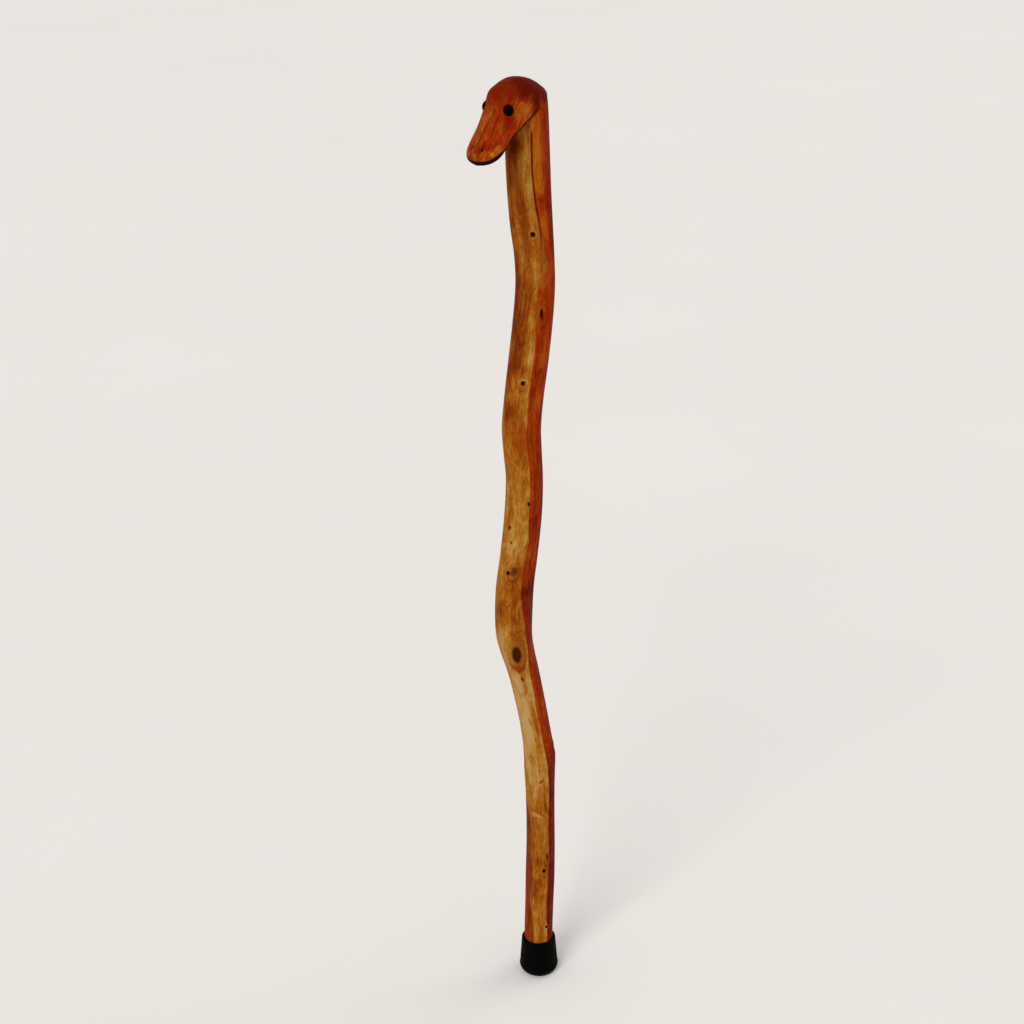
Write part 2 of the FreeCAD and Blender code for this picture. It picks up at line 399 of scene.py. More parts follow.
class NodeSheet:
    """A short way to write the nodes of a material or a world."""

    def __init__(self, holder: bpy.types.ID) -> None:
        """Starts with no nodes.

        Args:
            holder: the material or the world.
        """
        holder.use_nodes = True
        self.holder = holder
        self.tree = holder.node_tree
        self.tree.nodes.clear()

    def node(self, kind: str, feeds: dict[str | int, object], outlet: str | int = 0,
             **settings: object) -> Socket:
        """Adds a node.

        Args:
            kind: the node's type.
            feeds: the number, the colour or the other node's output that each input gets.
            outlet: the output that is wanted.
            settings: the node's own settings.

        Returns:
            That output.
        """
        node = self.tree.nodes.new("ShaderNode" + kind)
        for name, value in settings.items():
            setattr(node, name, value)
        for name, value in feeds.items():
            socket = node.inputs[name]
            if isinstance(value, Socket):
                self.tree.links.new(value, socket)
            else:
                socket.default_value = (*value, 1.0) if socket.type == "RGBA" else value
        return node.outputs[outlet]

    def end(self, surface: Socket) -> None:
        """Links the last node to the output of the material or the world."""
        output = self.tree.nodes.new("ShaderNodeOutput" + self.holder.id_type.title())
        self.tree.links.new(surface, output.inputs["Surface"])

    def mask(self, name: str) -> Socket:
        """Reads a number that the mesh holds for each point."""
        return self.node("Attribute", {}, "Fac", attribute_name=name)

    def places(self, name: str) -> Socket:
        """Reads a place that the mesh holds for each point."""
        return self.node("Attribute", {}, "Vector", attribute_name=name)

    def noise(self, places: Socket, scale: tuple[float, float, float], shift: float = 0.0,
              detail: float = 3.0, roughness: float = 0.6, distortion: float = 0.0) -> Socket:
        """Smooth noise about 0.5.

        Args:
            places: the places to draw it on.
            scale: repeats per metre along each axis.
            shift: an offset that gives each use its own noise.
            detail: how many finer layers it has.
            roughness: how strong the finer layers are.
            distortion: how much it swirls.

        Returns:
            The noise.
        """
        scaled = self.node("Mapping", {"Vector": places, "Scale": scale, "Location": (shift,) * 3})
        return self.node("TexNoise", {"Vector": scaled, "Scale": 1.0, "Detail": detail,
                                      "Roughness": roughness, "Distortion": distortion}, "Fac")

    def ramp(self, value: Level, low: float, high: float, start: float = 0.0, end: float = 1.0,
             curve: Curve = Curve.SMOOTH) -> Socket:
        """Maps a value from one range to another.

        Args:
            value: the value to map.
            low: the value that gives start.
            high: the value that gives end.
            start: the lower result.
            end: the upper result.
            curve: how it runs between the two.

        Returns:
            The mapped value.
        """
        ends = {"From Min": low, "From Max": high, "To Min": start, "To Max": end}
        return self.node("MapRange", {"Value": value, **ends}, "Result", interpolation_type=curve.value)

    def shades(self, level: Socket, stops: tuple[Shade, ...]) -> Socket:
        """Picks a colour from a row of shades.

        Args:
            level: the level, from 0 to 1.
            stops: the shades, each with its level.

        Returns:
            The colour.
        """
        colour = self.node("ValToRGB", {"Fac": level}, "Color")
        row = colour.node.color_ramp.elements
        while len(row) < len(stops):
            row.new(0.5)
        for element, (place, shade) in zip(row, stops):
            element.position = place
            element.color = (*shade, 1.0)
        return colour

    def total(self, *values: Level) -> Socket:
        """Adds up two or more values.

        Args:
            values: the values.

        Returns:
            Their sum.
        """
        result = values[0]
        for value in values[1:]:
            result = self.node("Math", {0: result, 1: value}, operation="ADD")
        return result

    def times(self, first: Level, second: Level) -> Socket:
        """Multiplies two values."""
        return self.node("Math", {0: first, 1: second}, operation="MULTIPLY")

    def mixed(self, share: Level, first: Paint, second: Paint, blend: Blend = Blend.MIX) -> Socket:
        """Mixes a share of the second colour into the first."""
        return self.node("Mix", {0: share, 6: first, 7: second}, 2, data_type="RGBA", blend_type=blend.value,
                         clamp_factor=True)

    def layered(self, wood: Paint, fibre: Socket, layers: tuple[tuple[str, Colour], ...]) -> Socket:
        """Deepens the wood's colour along its fibres, and lays masked colours over it.

        Args:
            wood: the wood's colour.
            fibre: the noise of its fibres.
            layers: the name of each mask, and its colour.

        Returns:
            The wood's colour with all of them.
        """
        deeper = self.mixed(1.0, wood, wood, Blend.MULTIPLY)
        wood = self.mixed(self.ramp(fibre, 0.38, 0.72, 0.0, 0.16), wood, deeper)
        for name, colour in layers:
            wood = self.mixed(self.mask(name), wood, colour)
        return wood

    def bump(self, height: Socket, distance: float, strength: float, **under: Socket) -> Socket:
        """Turns a height into a bump.

        Args:
            height: the height, from 0 to 1.
            distance: what a height of 1 stands for, in metres.
            strength: how much of it shows.
            under: as Normal, another bump that this one lies on.

        Returns:
            The bumped direction.
        """
        return self.node("Bump", {"Height": height, "Distance": distance, "Strength": strength, **under})

    def finish(self, colour: Paint, roughness: Level, normal: Socket, **uniform: float | Colour) -> Material:
        """Feeds the main shader.

        Args:
            colour: the surface's colour.
            roughness: its roughness.
            normal: its bumped direction.
            uniform: the shader's other sockets, each with one value all over.

        Returns:
            The finished material.
        """
        feeds = {name.replace("_", " ").title().replace("Ior", "IOR"): value
                 for name, value in uniform.items()}
        feeds |= {"Base Color": colour, "Roughness": roughness, "Normal": normal}
        self.end(self.node("BsdfPrincipled", feeds))
        return self.holder


@dataclass(frozen=True)
class BranchFinish:
    """Clear satin varnish over the peeled branch: yellow sapwood and red-brown heartwood, with painted shade
    in its holes, under the bill and towards its sides, and a painted light strip below the joint.
    """

    sap: tuple[Shade, ...] = (
        (0.00, (0.455, 0.275, 0.100)), (0.20, (0.430, 0.215, 0.044)), (0.36, (0.362, 0.143, 0.014)),
        (0.54, (0.300, 0.080, 0.0050)), (0.74, (0.205, 0.038, 0.0030)), (1.00, (0.110, 0.015, 0.0018)))
    heart: tuple[Shade, ...] = (
        (0.00, (0.405, 0.130, 0.0100)), (0.28, (0.370, 0.076, 0.0042)), (0.52, (0.308, 0.029, 0.0018)),
        (0.78, (0.180, 0.0115, 0.0014)), (1.00, (0.085, 0.0050, 0.0012)))
    pale: Colour = (0.490, 0.290, 0.095)
    olive: Colour = (0.235, 0.085, 0.0110)
    red: Colour = (0.270, 0.026, 0.0018)
    # Near black: the knots' own dark cores, and painted shade inside the pin holes, slits and the drying
    # crack
    dark: Colour = (0.040, 0.0034, 0.0012)
    shine: float = 0.012
    shine_tint: Colour = (1.0, 0.66, 0.42)

    def material(self) -> Material:
        """Builds the material, which reads the masks that the branch's mesh holds.

        Returns:
            The material.
        """
        s = NodeSheet(bpy.data.materials.new("varnished_branch"))
        grain = s.places("grain")
        patches = s.noise(grain, (62, 62, 19), 3.1, 3, 0.55, 0.9)
        clouds = s.noise(grain, (135, 135, 48), 11.3, 4, 0.62, 1.1)
        streaks = s.noise(grain, (430, 430, 34), 0, 5, 0.62, 0.35)
        curls = s.noise(grain, (330, 330, 150), 21.7, 4, 0.6, 1.6)
        threads = s.noise(grain, (820, 820, 42), 15.9, 3, 0.6, 0.5)
        fibre = s.noise(grain, (1900, 1900, 75), 7.7)
        texture = s.total(
            s.ramp(patches, 0.32, 0.68, -0.22, 0.22), s.ramp(clouds, 0.33, 0.67, -0.23, 0.23),
            s.ramp(streaks, 0.35, 0.67, -0.21, 0.21), s.ramp(curls, 0.36, 0.66, -0.17, 0.17),
            s.ramp(threads, 0.56, 0.68, -0.03, 0.20))
        stain = s.total(s.mask("stain"), s.times(texture, 0.80))
        deep = s.total(s.mask("deep"), s.times(texture, 0.72))
        wood = s.mixed(s.mask("heart"), s.shades(s.ramp(stain, -0.35, 1.45, curve=Curve.LINE), self.sap),
                       s.shades(s.ramp(deep, -0.45, 1.25, curve=Curve.LINE), self.heart))
        for name, colour in (("red", self.red), ("olive", self.olive)):
            wood = s.mixed(s.mask(name), wood, colour)
        wood = s.layered(wood, fibre, (("light", self.pale), ("dark", self.dark)))
        rough = s.total(s.ramp(streaks, 0.3, 0.7, 0.38, 0.50), s.times(s.mask("dark"), 0.3))
        normal = s.bump(fibre, 0.00006, 0.5, Normal=s.bump(streaks, 0.00020, 0.45))
        return s.finish(wood, rough, normal, specular_ior_level=self.shine, specular_tint=self.shine_tint)


@dataclass(frozen=True)
class HeadFinish:
    """Clear satin varnish over red-brown carved wood, with dark grain along the bill, painted shadows round
    the nostrils and painted shade under the bill.
    """

    base: Colour = (0.310, 0.054, 0.0042)
    umber: Colour = (0.215, 0.032, 0.0026)
    orange: Colour = (0.410, 0.078, 0.0046)
    yellow: Colour = (0.450, 0.165, 0.0160)
    red: Colour = (0.300, 0.024, 0.0020)
    crimson: Colour = (0.215, 0.0085, 0.0022)
    dusk: Colour = (0.172, 0.0135, 0.0012)
    maroon: Colour = (0.110, 0.0050, 0.0010)
    # Dark grain lines down the bill, and also the painted shadows round the nostrils
    line: Colour = (0.050, 0.0060, 0.0013)
    # Painted shade: near black laid on the bill's flat underside and the lowest edge of its sides
    under: Colour = (0.0070, 0.0020, 0.0012)
    shine: float = 0.012
    shine_tint: Colour = (1.0, 0.62, 0.38)

    def material(self) -> Material:
        """Builds the material, which reads the masks that the head's mesh holds.

        Returns:
            The material.
        """
        s = NodeSheet(bpy.data.materials.new("varnished_head"))
        grain = s.places("grain")
        clouds = s.noise(grain, (120, 120, 62), 13.8, 4, 0.58, 0.9)
        streaks = s.noise(grain, (420, 420, 36), 0, 5, 0.6, 0.35)
        curls = s.noise(grain, (290, 290, 130), 5.2, 4, 0.6, 1.4)
        fibre = s.noise(grain, (1800, 1800, 90), 9.4)
        tone = s.total(s.ramp(clouds, 0.32, 0.68, -0.30, 0.30), s.ramp(streaks, 0.34, 0.68, -0.30, 0.30),
                       s.ramp(curls, 0.34, 0.68, -0.24, 0.24))
        wood = s.mixed(s.ramp(s.total(tone, s.mask("umber")), -0.15, 0.55), self.base, self.umber)
        wood = s.mixed(s.ramp(tone, -0.50, 0.00, 0.40, 0.0), wood, self.orange)
        for name, share, colour in (
                ("red", 0.80, self.red), ("bright", -0.60, self.orange), ("yellow", -0.60, self.yellow),
                ("dusk", 0.26, self.dusk), ("crimson", 0.40, self.crimson), ("maroon", 0.26, self.maroon)):
            wood = s.mixed(s.ramp(s.total(s.mask(name), s.times(tone, share)), 0.08, 1.0), wood, colour)
        wood = s.layered(wood, fibre, (("line", self.line), ("under", self.under)))
        normal = s.bump(fibre, 0.00005, 0.5, Normal=s.bump(streaks, 0.00018, 0.45))
        return s.finish(wood, s.ramp(streaks, 0.3, 0.7, 0.34, 0.46), normal, specular_ior_level=self.shine,
                        specular_tint=self.shine_tint)


@dataclass(frozen=True)
class Pattern:
    """A noise on the piece's own places."""

    scale: tuple[float, float, float]
    shift: float = 0.0
    detail: float = 4.0
    roughness: float = 0.6


@dataclass(frozen=True)
class PlainFinish:
    """Two colours in soft clouds under fine grit, with dust where the mesh says so.

    The spread and the ranges are the levels of noise between which the second colour, the roughness
    and the dust come in. The bump is the grit's height in metres and how much of it shows.
    """

    name: str
    colour: Colour
    other: Colour
    clouds: Pattern
    spread: tuple[float, float]
    grit: Pattern
    bump: tuple[float, float]
    rough: tuple[float, float]
    rough_range: tuple[float, float] = (0.3, 0.7)
    rough_grit: bool = False
    dust: Colour | None = None
    dust_range: tuple[float, float] = (0.35, 0.62)
    metallic: float = 0.0
    specular: float = 0.5

    def material(self) -> Material:
        """Builds the material.

        Returns:
            The material.
        """
        s = NodeSheet(bpy.data.materials.new(self.name))
        places = s.node("TexCoord", {}, "Object")
        clouds, grit = (s.noise(places, p.scale, p.shift, p.detail, p.roughness)
                        for p in (self.clouds, self.grit))
        colour = s.mixed(s.ramp(clouds, *self.spread), self.colour, self.other)
        if self.dust:
            colour = s.mixed(s.times(s.mask("dust"), s.ramp(clouds, *self.dust_range)), colour, self.dust)
        rough = s.ramp(grit if self.rough_grit else clouds, *self.rough_range, *self.rough)
        return s.finish(colour, rough, s.bump(grit, *self.bump), metallic=self.metallic,
                        specular_ior_level=self.specular)


# Bare turned hardwood, with its grain along the dowel
BARE_WOOD = PlainFinish(
    "bare_dowel_wood", (0.52, 0.33, 0.15), (0.36, 0.20, 0.08), Pattern((900, 900, 40)), (0.35, 0.7),
    Pattern((2600, 2600, 160), 4.0, 2, 0.5), (0.00008, 0.6), (0.55, 0.75), rough_grit=True)

# A polished black dome with faint handling haze
HAZE = Pattern((300, 300, 300), 0.0, 3, 0.5)
BLACK_DOME = PlainFinish(
    "polished_eye", (0.0010, 0.0010, 0.0014), (0.0022, 0.0020, 0.0022), HAZE, (0.45, 0.7), HAZE,
    (0.00003, 0.3), (0.12, 0.24), (0.35, 0.75), specular=0.02)

# Plain steel, a little dull and finely scratched: drawn wire, and a zinc-coated washer
SCRATCHES = Pattern((3000, 900, 400), 2.0, 2, 0.5)
WIRE = PlainFinish(
    "drawn_wire", (0.52, 0.51, 0.50), (0.30, 0.28, 0.26), Pattern((500, 500, 500)), (0.4, 0.7), SCRATCHES,
    (0.00004, 0.5), (0.32, 0.50), metallic=1.0)
ZINC = PlainFinish(
    "zinc_washer", (0.62, 0.63, 0.65), (0.42, 0.43, 0.45), Pattern((500, 500, 500)), (0.4, 0.7), SCRATCHES,
    (0.00004, 0.5), (0.28, 0.46), metallic=1.0)

# Matte moulded black rubber, dusty near the ground
RUBBER = PlainFinish(
    "moulded_rubber", (0.0011, 0.0010, 0.0009), (0.0026, 0.0024, 0.0021), Pattern((120, 120, 120), 6.0),
    (0.4, 0.75), Pattern((900, 900, 900), 0.0, 3), (0.00010, 0.45), (0.52, 0.70), dust=(0.014, 0.012, 0.010),
    specular=0.02)


@dataclass(frozen=True)
class FloorFinish:
    """A plain pale floor."""

    colour: Colour = (0.830, 0.800, 0.760)
    shade: Colour = (0.815, 0.785, 0.745)

    def material(self) -> Material:
        """Builds the material.

        Returns:
            The material.
        """
        s = NodeSheet(bpy.data.materials.new("pale_floor"))
        places = s.node("TexCoord", {}, "Object")
        clouds = s.noise(places, (1.2, 1.2, 1.2), 0, 3, 0.5)
        grit = s.noise(places, (700, 700, 700), 2.0, 2, 0.5)
        colour = s.mixed(s.ramp(clouds, 0.35, 0.65), self.colour, self.shade)
        return s.finish(colour, 0.9, s.bump(grit, 0.0001, 0.2), specular_ior_level=0.1)


@dataclass
class JointPlane:
    """The slanted joint between the branch and the head."""

    height: float = 876.6 * MM
    slope: float = math.radians(34.3)

    def down(self) -> Points:
        """The way down the joint, towards the bill."""
        return np.array([0.0, -math.cos(self.slope), -math.sin(self.slope)])

    def out(self) -> Points:
        """The way square to the joint, out of the branch."""
        return np.array([0.0, -math.sin(self.slope), math.cos(self.slope)])


# Height share, swing in the bend plane, swing square to it, girth, roundness, corner's wind
BRANCH_SHARES = (
    (0, 0.005, 0, 0, 0.9, 0.925), (0.043, 0.05, 0.08, 0, 0.64, 0.75), (0.09, 0.12, 0.2, 0.04, 0.56, 0.79),
    (0.144, 0.17, 0.32, -0.05, 0.55, 0.84), (0.198, 0.175, 0.45, -0.02, 0.55, 0.91),
    (0.23, 0.16, 0.5, 0.15, 0.52, 0.85), (0.247, 0.155, 0.52, 0.22, 0.52, 0.71),
    (0.266, 0.08, 0.52, 0.1, 0.55, 0.675), (0.299, -0.11, 0.5, 0.04, 0.56, 0.675),
    (0.341, -0.42, 0.38, 0.12, 0.56, 0.72), (0.365, -0.62, 0.25, 0.24, 0.58, 0.79),
    (0.385, -0.82, 0.12, 0.41, 0.6, 0.91), (0.405, -0.96, 0, 0.57, 0.62, 1),
    (0.431, -0.985, -0.12, 0.67, 0.64, 0.8), (0.467, -0.92, -0.3, 0.74, 0.64, 0.45),
    (0.508, -0.7, -0.5, 0.71, 0.62, 0.41), (0.556, -0.48, -0.7, 0.68, 0.6, 0.42),
    (0.598, -0.395, -0.8, 0.62, 0.6, 0.45), (0.634, -0.46, -0.82, 0.73, 0.62, 0.375),
    (0.66, -0.49, -0.76, 0.78, 0.62, 0.36), (0.693, -0.355, -0.62, 0.78, 0.62, 0.31),
    (0.735, -0.125, -0.4, 0.83, 0.64, 0.31), (0.777, 0.09, -0.18, 0.81, 0.68, 0.2),
    (0.815, 0.21, 0, 0.72, 0.74, 0.275), (0.846, 0.185, 0.1, 0.73, 0.78, 0.25),
    (0.878, 0.08, 0.14, 0.92, 0.82, 0.225), (0.92, -0.01, 0.12, 1, 0.88, 0.2),
    (0.962, -0.06, 0.06, 0.99, 0.94, 0.175), (1, -0.1, 0, 0.92, 0.97, 0.15),
    (1.04, -0.11, 0, 0.3, 0.97, 0.15),
)

# Height in millimetres and turn in degrees of the line that the grain and the colours follow:
# the red facet's edge below, and the drying crack above
LEAD_LINE = (
    (0, 353), (40, 353), (58, 351), (72, 346), (92, 345.3), (120, 348), (165, 349.9), (190, 349.6),
    (209, 353.7), (229, 350.5), (252, 343.2), (287, 342.7), (325, 344.7), (344, 347.2), (359, 352.2),
    (381, 356.8), (396, 349.7), (416, 340.8), (430, 334.8), (463, 331.8), (487, 333.9), (516, 332.7),
    (546, 334), (566, 332.4), (584, 328.8), (596, 331.5), (611, 328.7), (638, 327.2), (659, 328.5),
    (690, 325.5), (715, 331), (738, 337.5), (759.5, 339.5), (776, 338.5), (797, 330.6), (820.6, 326.2),
    (841, 326.6), (862, 328), (910, 328),
)

# How brown the sapwood beside the lead line is at each height, from 0, pale, to 1, dark brown
STAIN_BY_HEIGHT = (
    (0, 0.38), (60, 0.38), (85, 0.34), (98, 0.44), (112, 0.64), (125, 0.6), (140, 0.48), (160, 0.46),
    (185, 0.46), (200, 0.32), (235, 0), (270, -0.22), (300, -0.22), (345, -0.08), (366, 0.08), (385, 0.24),
    (405, 0.52), (420, 0.44), (438, 0.5), (458, 0.28), (480, 0.26), (500, 0.26), (515, 0.34), (545, 0.44),
    (560, 0.44), (572, 0.46), (590, 0.54), (605, 0.42), (620, 0.5), (632, 0.58), (650, 0.74), (663, 0.62),
    (685, 0.88), (705, 0.74), (728, 0.68), (742, 0.72), (758, 0.68), (770, 0.56), (782, 0.6), (797, 0.6),
    (815, 0.48), (830, 0.5), (850, 0.62), (865, 0.6), (910, 0.5),
)

# How dark the heartwood is at each height, and how far its edge lies from the lead line, in degrees
HEART_BY_HEIGHT = (
    (0, 1.02, 0), (170, 0.95, 0), (238, 0.84, 0), (255, 0.66, -1), (272, 0.54, -2.5), (300, 0.42, -6),
    (330, 0.42, -5), (350, 0.52, -2.5), (372, 0.64, 0), (390, 0.7, 0), (415, 0.74, 0), (430, 0.86, 0),
    (442, 0.74, 0), (456, 0.54, 0), (466, 0.5, 4.5), (478, 0.5, 6.5), (488, 0.54, 5), (502, 0.58, 0),
    (530, 0.56, 0), (560, 0.5, 0), (575, 0.48, 0), (600, 0.5, 0), (640, 0.5, 0), (690, 0.5, 0),
    (708, 0.4, -4), (718, 0.36, -8), (726, 0.3, -2), (733, 0.3, 9), (739, 0.32, 16), (745, 0.28, 17),
    (752, 0.22, 10), (762, 0.1, 0), (775, 0, 0), (800, -0.08, 0), (830, -0.14, 0), (862, -0.06, 0),
    (910, -0.06, 0),
)

# Turn in degrees below which the foot of the branch is red-brown again, at each height
LEFT_EDGE = (
    (0, 293), (41, 293.5), (59, 291.6), (75, 284.7), (90, 271), (112.5, 281), (128, 277), (139, 273.2),
    (164.5, 267.6), (183.4, 264.4), (199, 240), (240, 226), (910, 226),
)

# Brown stains in the sapwood, with painted shade on the neck under the bill, places where it stays clear,
# olive-brown rings round the knots, red-brown streaks, and where the heartwood is redder or, below 0, more
# orange: the fields of Tint in each row
TINT_ROWS = {
    "brown": (
        # The first three brown rows are painted shade: the bill's shadow on the neck, and the shaded left
        # side of the neck below it
        (847, 280, 4.6, 7, 1.1), (838, 272, 4, 9, 0.4), (829, 266, 4.5, 18, 0.36), (815, 286, 3.2, 16, 0.3),
        (796, 294.5, 3, 14, 0.36), (778, 298.8, 3, 12, 0.36), (761, 301.5, 3.6, 13, 0.44),
        (745, 300, 4, 14, 0.16), (727, 256, 4.5, 22, 0.34), (786, 260, 5, 16, 0.26),
        (720, 280, 3.5, 10, 0.24), (712, 291, 4, 14, 0.2), (704, 326, 3.4, 11, 0.36),
        (700, 260, 5, 20, 0.26), (690, 284, 6, 26, 0.18), (672, 278, 7, 20, 0.4), (662, 289, 4.5, 14, 0.26),
        (648, 305, 4, 5.5, 0.28), (645, 264, 6, 18, 0.52), (609, 279, 5.5, 13, 0.76),
        (598, 263, 5, 10, 0.28), (598, 311, 8, 12, 0.08), (585, 275, 6, 14, 0.06), (508, 268, 2, 15, 0.5),
        (516, 274, 1.5, 14, 0.38), (526, 318, 4, 9, 0.3), (432, 284, 9, 12, 0.14), (456, 306, 5, 6.5, 0.45),
        (455, 323, 5, 8, 0.5), (441, 306, 5, 6, 0.28), (426, 319, 4.2, 10, 0.44), (412, 290, 6, 9, 0.28),
        (408, 322, 4.5, 11, 0.34), (416, 274, 4, 9, 0.34), (391, 309, 0.8, 11, 0.55),
        (388, 316, 7, 9, 0.36), (392, 340, 5.5, 20, 0.22), (364, 338, 4, 14, 0.28), (340, 311, 2, 14, 0.35),
        (352, 312, 3, 8, 0.25), (315, 305, 1.4, 22, 0.3), (290, 323, 4, 34, 1.1), (262, 312, 2, 16, 0.1),
        (246, 304, 4, 8, 0.34), (255, 306, 4, 8, 0.2), (222, 292, 5, 8, 0.25), (194, 338, 5, 8, 0.2),
        (221, 340, 5, 9, 0.38), (215, 290, 5, 12, 0.15), (200, 323, 6, 11, 0.36), (181, 291, 5, 7, 0.22),
        (110, 306, 5, 6, 0.22), (261, 322, 4.5, 7, 0.24), (328, 323, 3, 6, 0.24), (298, 324, 3, 9, 0.14),
        (770, 322, 2.5, 5, 0.2), (205, 262, 4, 26, 0.2), (172, 288, 6, 12, 0.2), (160, 306, 6, 12, 0.24),
        (134.5, 310, 4, 6, 0.5), (128, 335, 6, 6.5, 0.36), (128, 296, 4, 8, 0.18), (113, 320, 9, 9, 0.26),
        (97, 291, 5, 9, 0.62), (90, 340, 5, 10, 0.3), (82, 290, 5, 8, 0.22), (68, 338, 6, 7, 0.38),
        (66, 294, 4, 8, 0.38), (640, 130, 8, 30, 0.55), (520, 200, 9, 40, 0.45), (300, 220, 7, 40, 0.4),
        (740, 210, 9, 40, 0.45), (845, 200, 9, 22, 0.55), (700, 150, 7, 26, 0.4), (430, 190, 6, 18, 0.5),),
    "clear": (
        (843, 314, 4, 18, 0.1), (815, 309, 4.5, 20, 0.36), (787, 317, 3.5, 18, 0.24),
        (754, 318, 4.5, 12, 0.34), (734, 318, 5, 12, 0.3), (740, 347, 3.5, 6, 0.26), (740, 268, 4, 12, 0.3),
        (720, 320, 4, 12, 0.1), (705, 305, 3, 6, 0.26), (702, 309, 3.5, 14, 0.28),
        (686, 313, 3.5, 12, 0.22), (660, 306, 3.4, 6, 0.2), (668, 320, 4, 14, 0.5),
        (649, 322, 4.5, 12, 0.36), (638, 288, 6, 9, 0.3), (618, 302, 6, 10, 0.22), (600, 320, 3, 14, 0.15),
        (532, 306, 6, 10, 0.2), (508, 263, 5, 14, 0.24), (484, 290, 7, 10, 0.36), (390, 288, 8, 8, 0.14),
        (402, 274, 7, 7, 0.14), (430, 305, 3, 7, 0.14), (382, 274, 8, 13, 0.42), (362, 268, 6, 12, 0.2),
        (416, 296, 3, 9, 0.25), (340, 292, 6, 12, 0.22), (288, 304, 4, 20, 0.26), (246, 324, 5, 6, 0.05),
        (280, 280, 7, 26, 0.2), (232, 305, 3, 12, 0.18), (206, 296, 8, 7, 0.26), (76, 318, 7, 10, 0.15),
        (221, 314, 5, 9, 0.18), (182, 306, 4, 7, 0.22), (67, 322, 4, 7, 0.2), (328, 306, 4, 6, 0.28),
        (292, 306, 4, 8, 0.18), (441, 322, 3, 5, 0.22),),
    "olive": (
        (455, 303.5, 3.4, 4.8, 0.25), (376, 311, 4.5, 10, 0.45), (358, 300, 5, 8, 0.2),
        (252, 283, 2.6, 6, 0.3), (290, 312, 2, 16, 0.25), (240, 288, 2.6, 14, 0.25),),
    "red": (
        (583, 320, 8, 13, 0.74), (604, 322, 5, 9, 0.25), (353, 305, 4.5, 3, 0.6), (352, 318, 5, 3, 0.7),
        (358, 329, 2.5, 5, 0.5), (498, 272, 1.6, 3, 0.6), (757, 304, 2.6, 7, 0.35), (124, 331, 2.2, 3, 0.5),),
    "heart": (
        (797, 346, 5, 9, 0.6), (789, 6, 6, 10, -0.02), (812, 6, 6, 10, -0.25), (780, 344, 4, 8, -0.3),
        (742, 346, 7, 9, 0.05), (727, 343, 5, 6, -0.2), (694, 345, 6, 9, 0.25), (657, 6, 7, 12, -0.5),
        (619, 6, 6, 6, -0.35), (640, 348, 5, 18, 0.12), (566, 340, 6, 12, -0.12), (502, 346, 6, 8, 0.3),
        (472, 345, 5, 12, -0.28), (432, 350, 8, 8, 0.15), (366, 8, 8, 10, -0.2), (205, 8, 8, 24, 0.15),
        (600, 190, 10, 30, 0.25), (380, 160, 8, 26, -0.25),),
}

# What marks the branch: the fields of Mark after its kind in each row
MARK_ROWS = {
    MarkKind.PIN_HOLE: (
        (769.9, 317.6, 4.7, 4.9), (637, 305.6, 4.3, 4.5), (497.5, 272.9, 2.8, 4, 8, 0.7),
        (452.3, 285.9, 3.8, 4.4, 10), (123.8, 331, 4.2, 4.8, 0, 0.9), (57.4, 347.5, 3.2, 3.8, 0, 0.95),
        (688, 171, 3.4, 3.6), (431, 62, 3, 3.2), (178, 128, 2.8, 3),),
    MarkKind.SLIT: (
        (699.2, 338.8, 3.7, 12, 8), (522.2, 330.4, 2.6, 5.4, 12), (482.9, 283.4, 1.9, 4.2, 0, 0.9),
        (393, 236, 2.5, 5, -30, 0.7), (339.2, 311.1, 2.6, 6, 10, 0.55), (291.2, 302.3, 2.2, 10.5, 6, 0.5),
        (225.7, 321.7, 2.6, 6.5, -48, 0.36), (139.6, 343.6, 2.3, 9.8, 3, 0.95), (611, 96, 2, 7, -6, 0.8),
        (329, 158, 1.8, 8, 4, 0.8), (96, 204, 1.6, 6.5, -5, 0.8),),
    MarkKind.KNOT: (
        (454.4, 304.5, 7.2, 11, -12, 0.62), (366.7, 316.4, 10.2, 20.5, -10, 1), (806, 118, 5.5, 9, 10, 0.6),
        (546, 140, 7.5, 12, 8, 0.9), (257, 50, 5, 9, 0, 0.55),),
    MarkKind.SMUDGE: (
        (250.5, 282.4, 3, 12, 5, 0.45),),
    MarkKind.PALE: (
        (187.4, 297.5, 17.5, 5.2, -24, 0.55),),
    MarkKind.CURL: (
        (821.5, 345.5, 6.5, 26, 3, 1), (562, 306, 7.5, 8.5, 0, 0.8), (424, 297, 8, 12, -12, 0.8),
        (250.5, 284, 6, 12, 5, 0.6), (655, 352, 7, 20, 6, 0.5),),
}


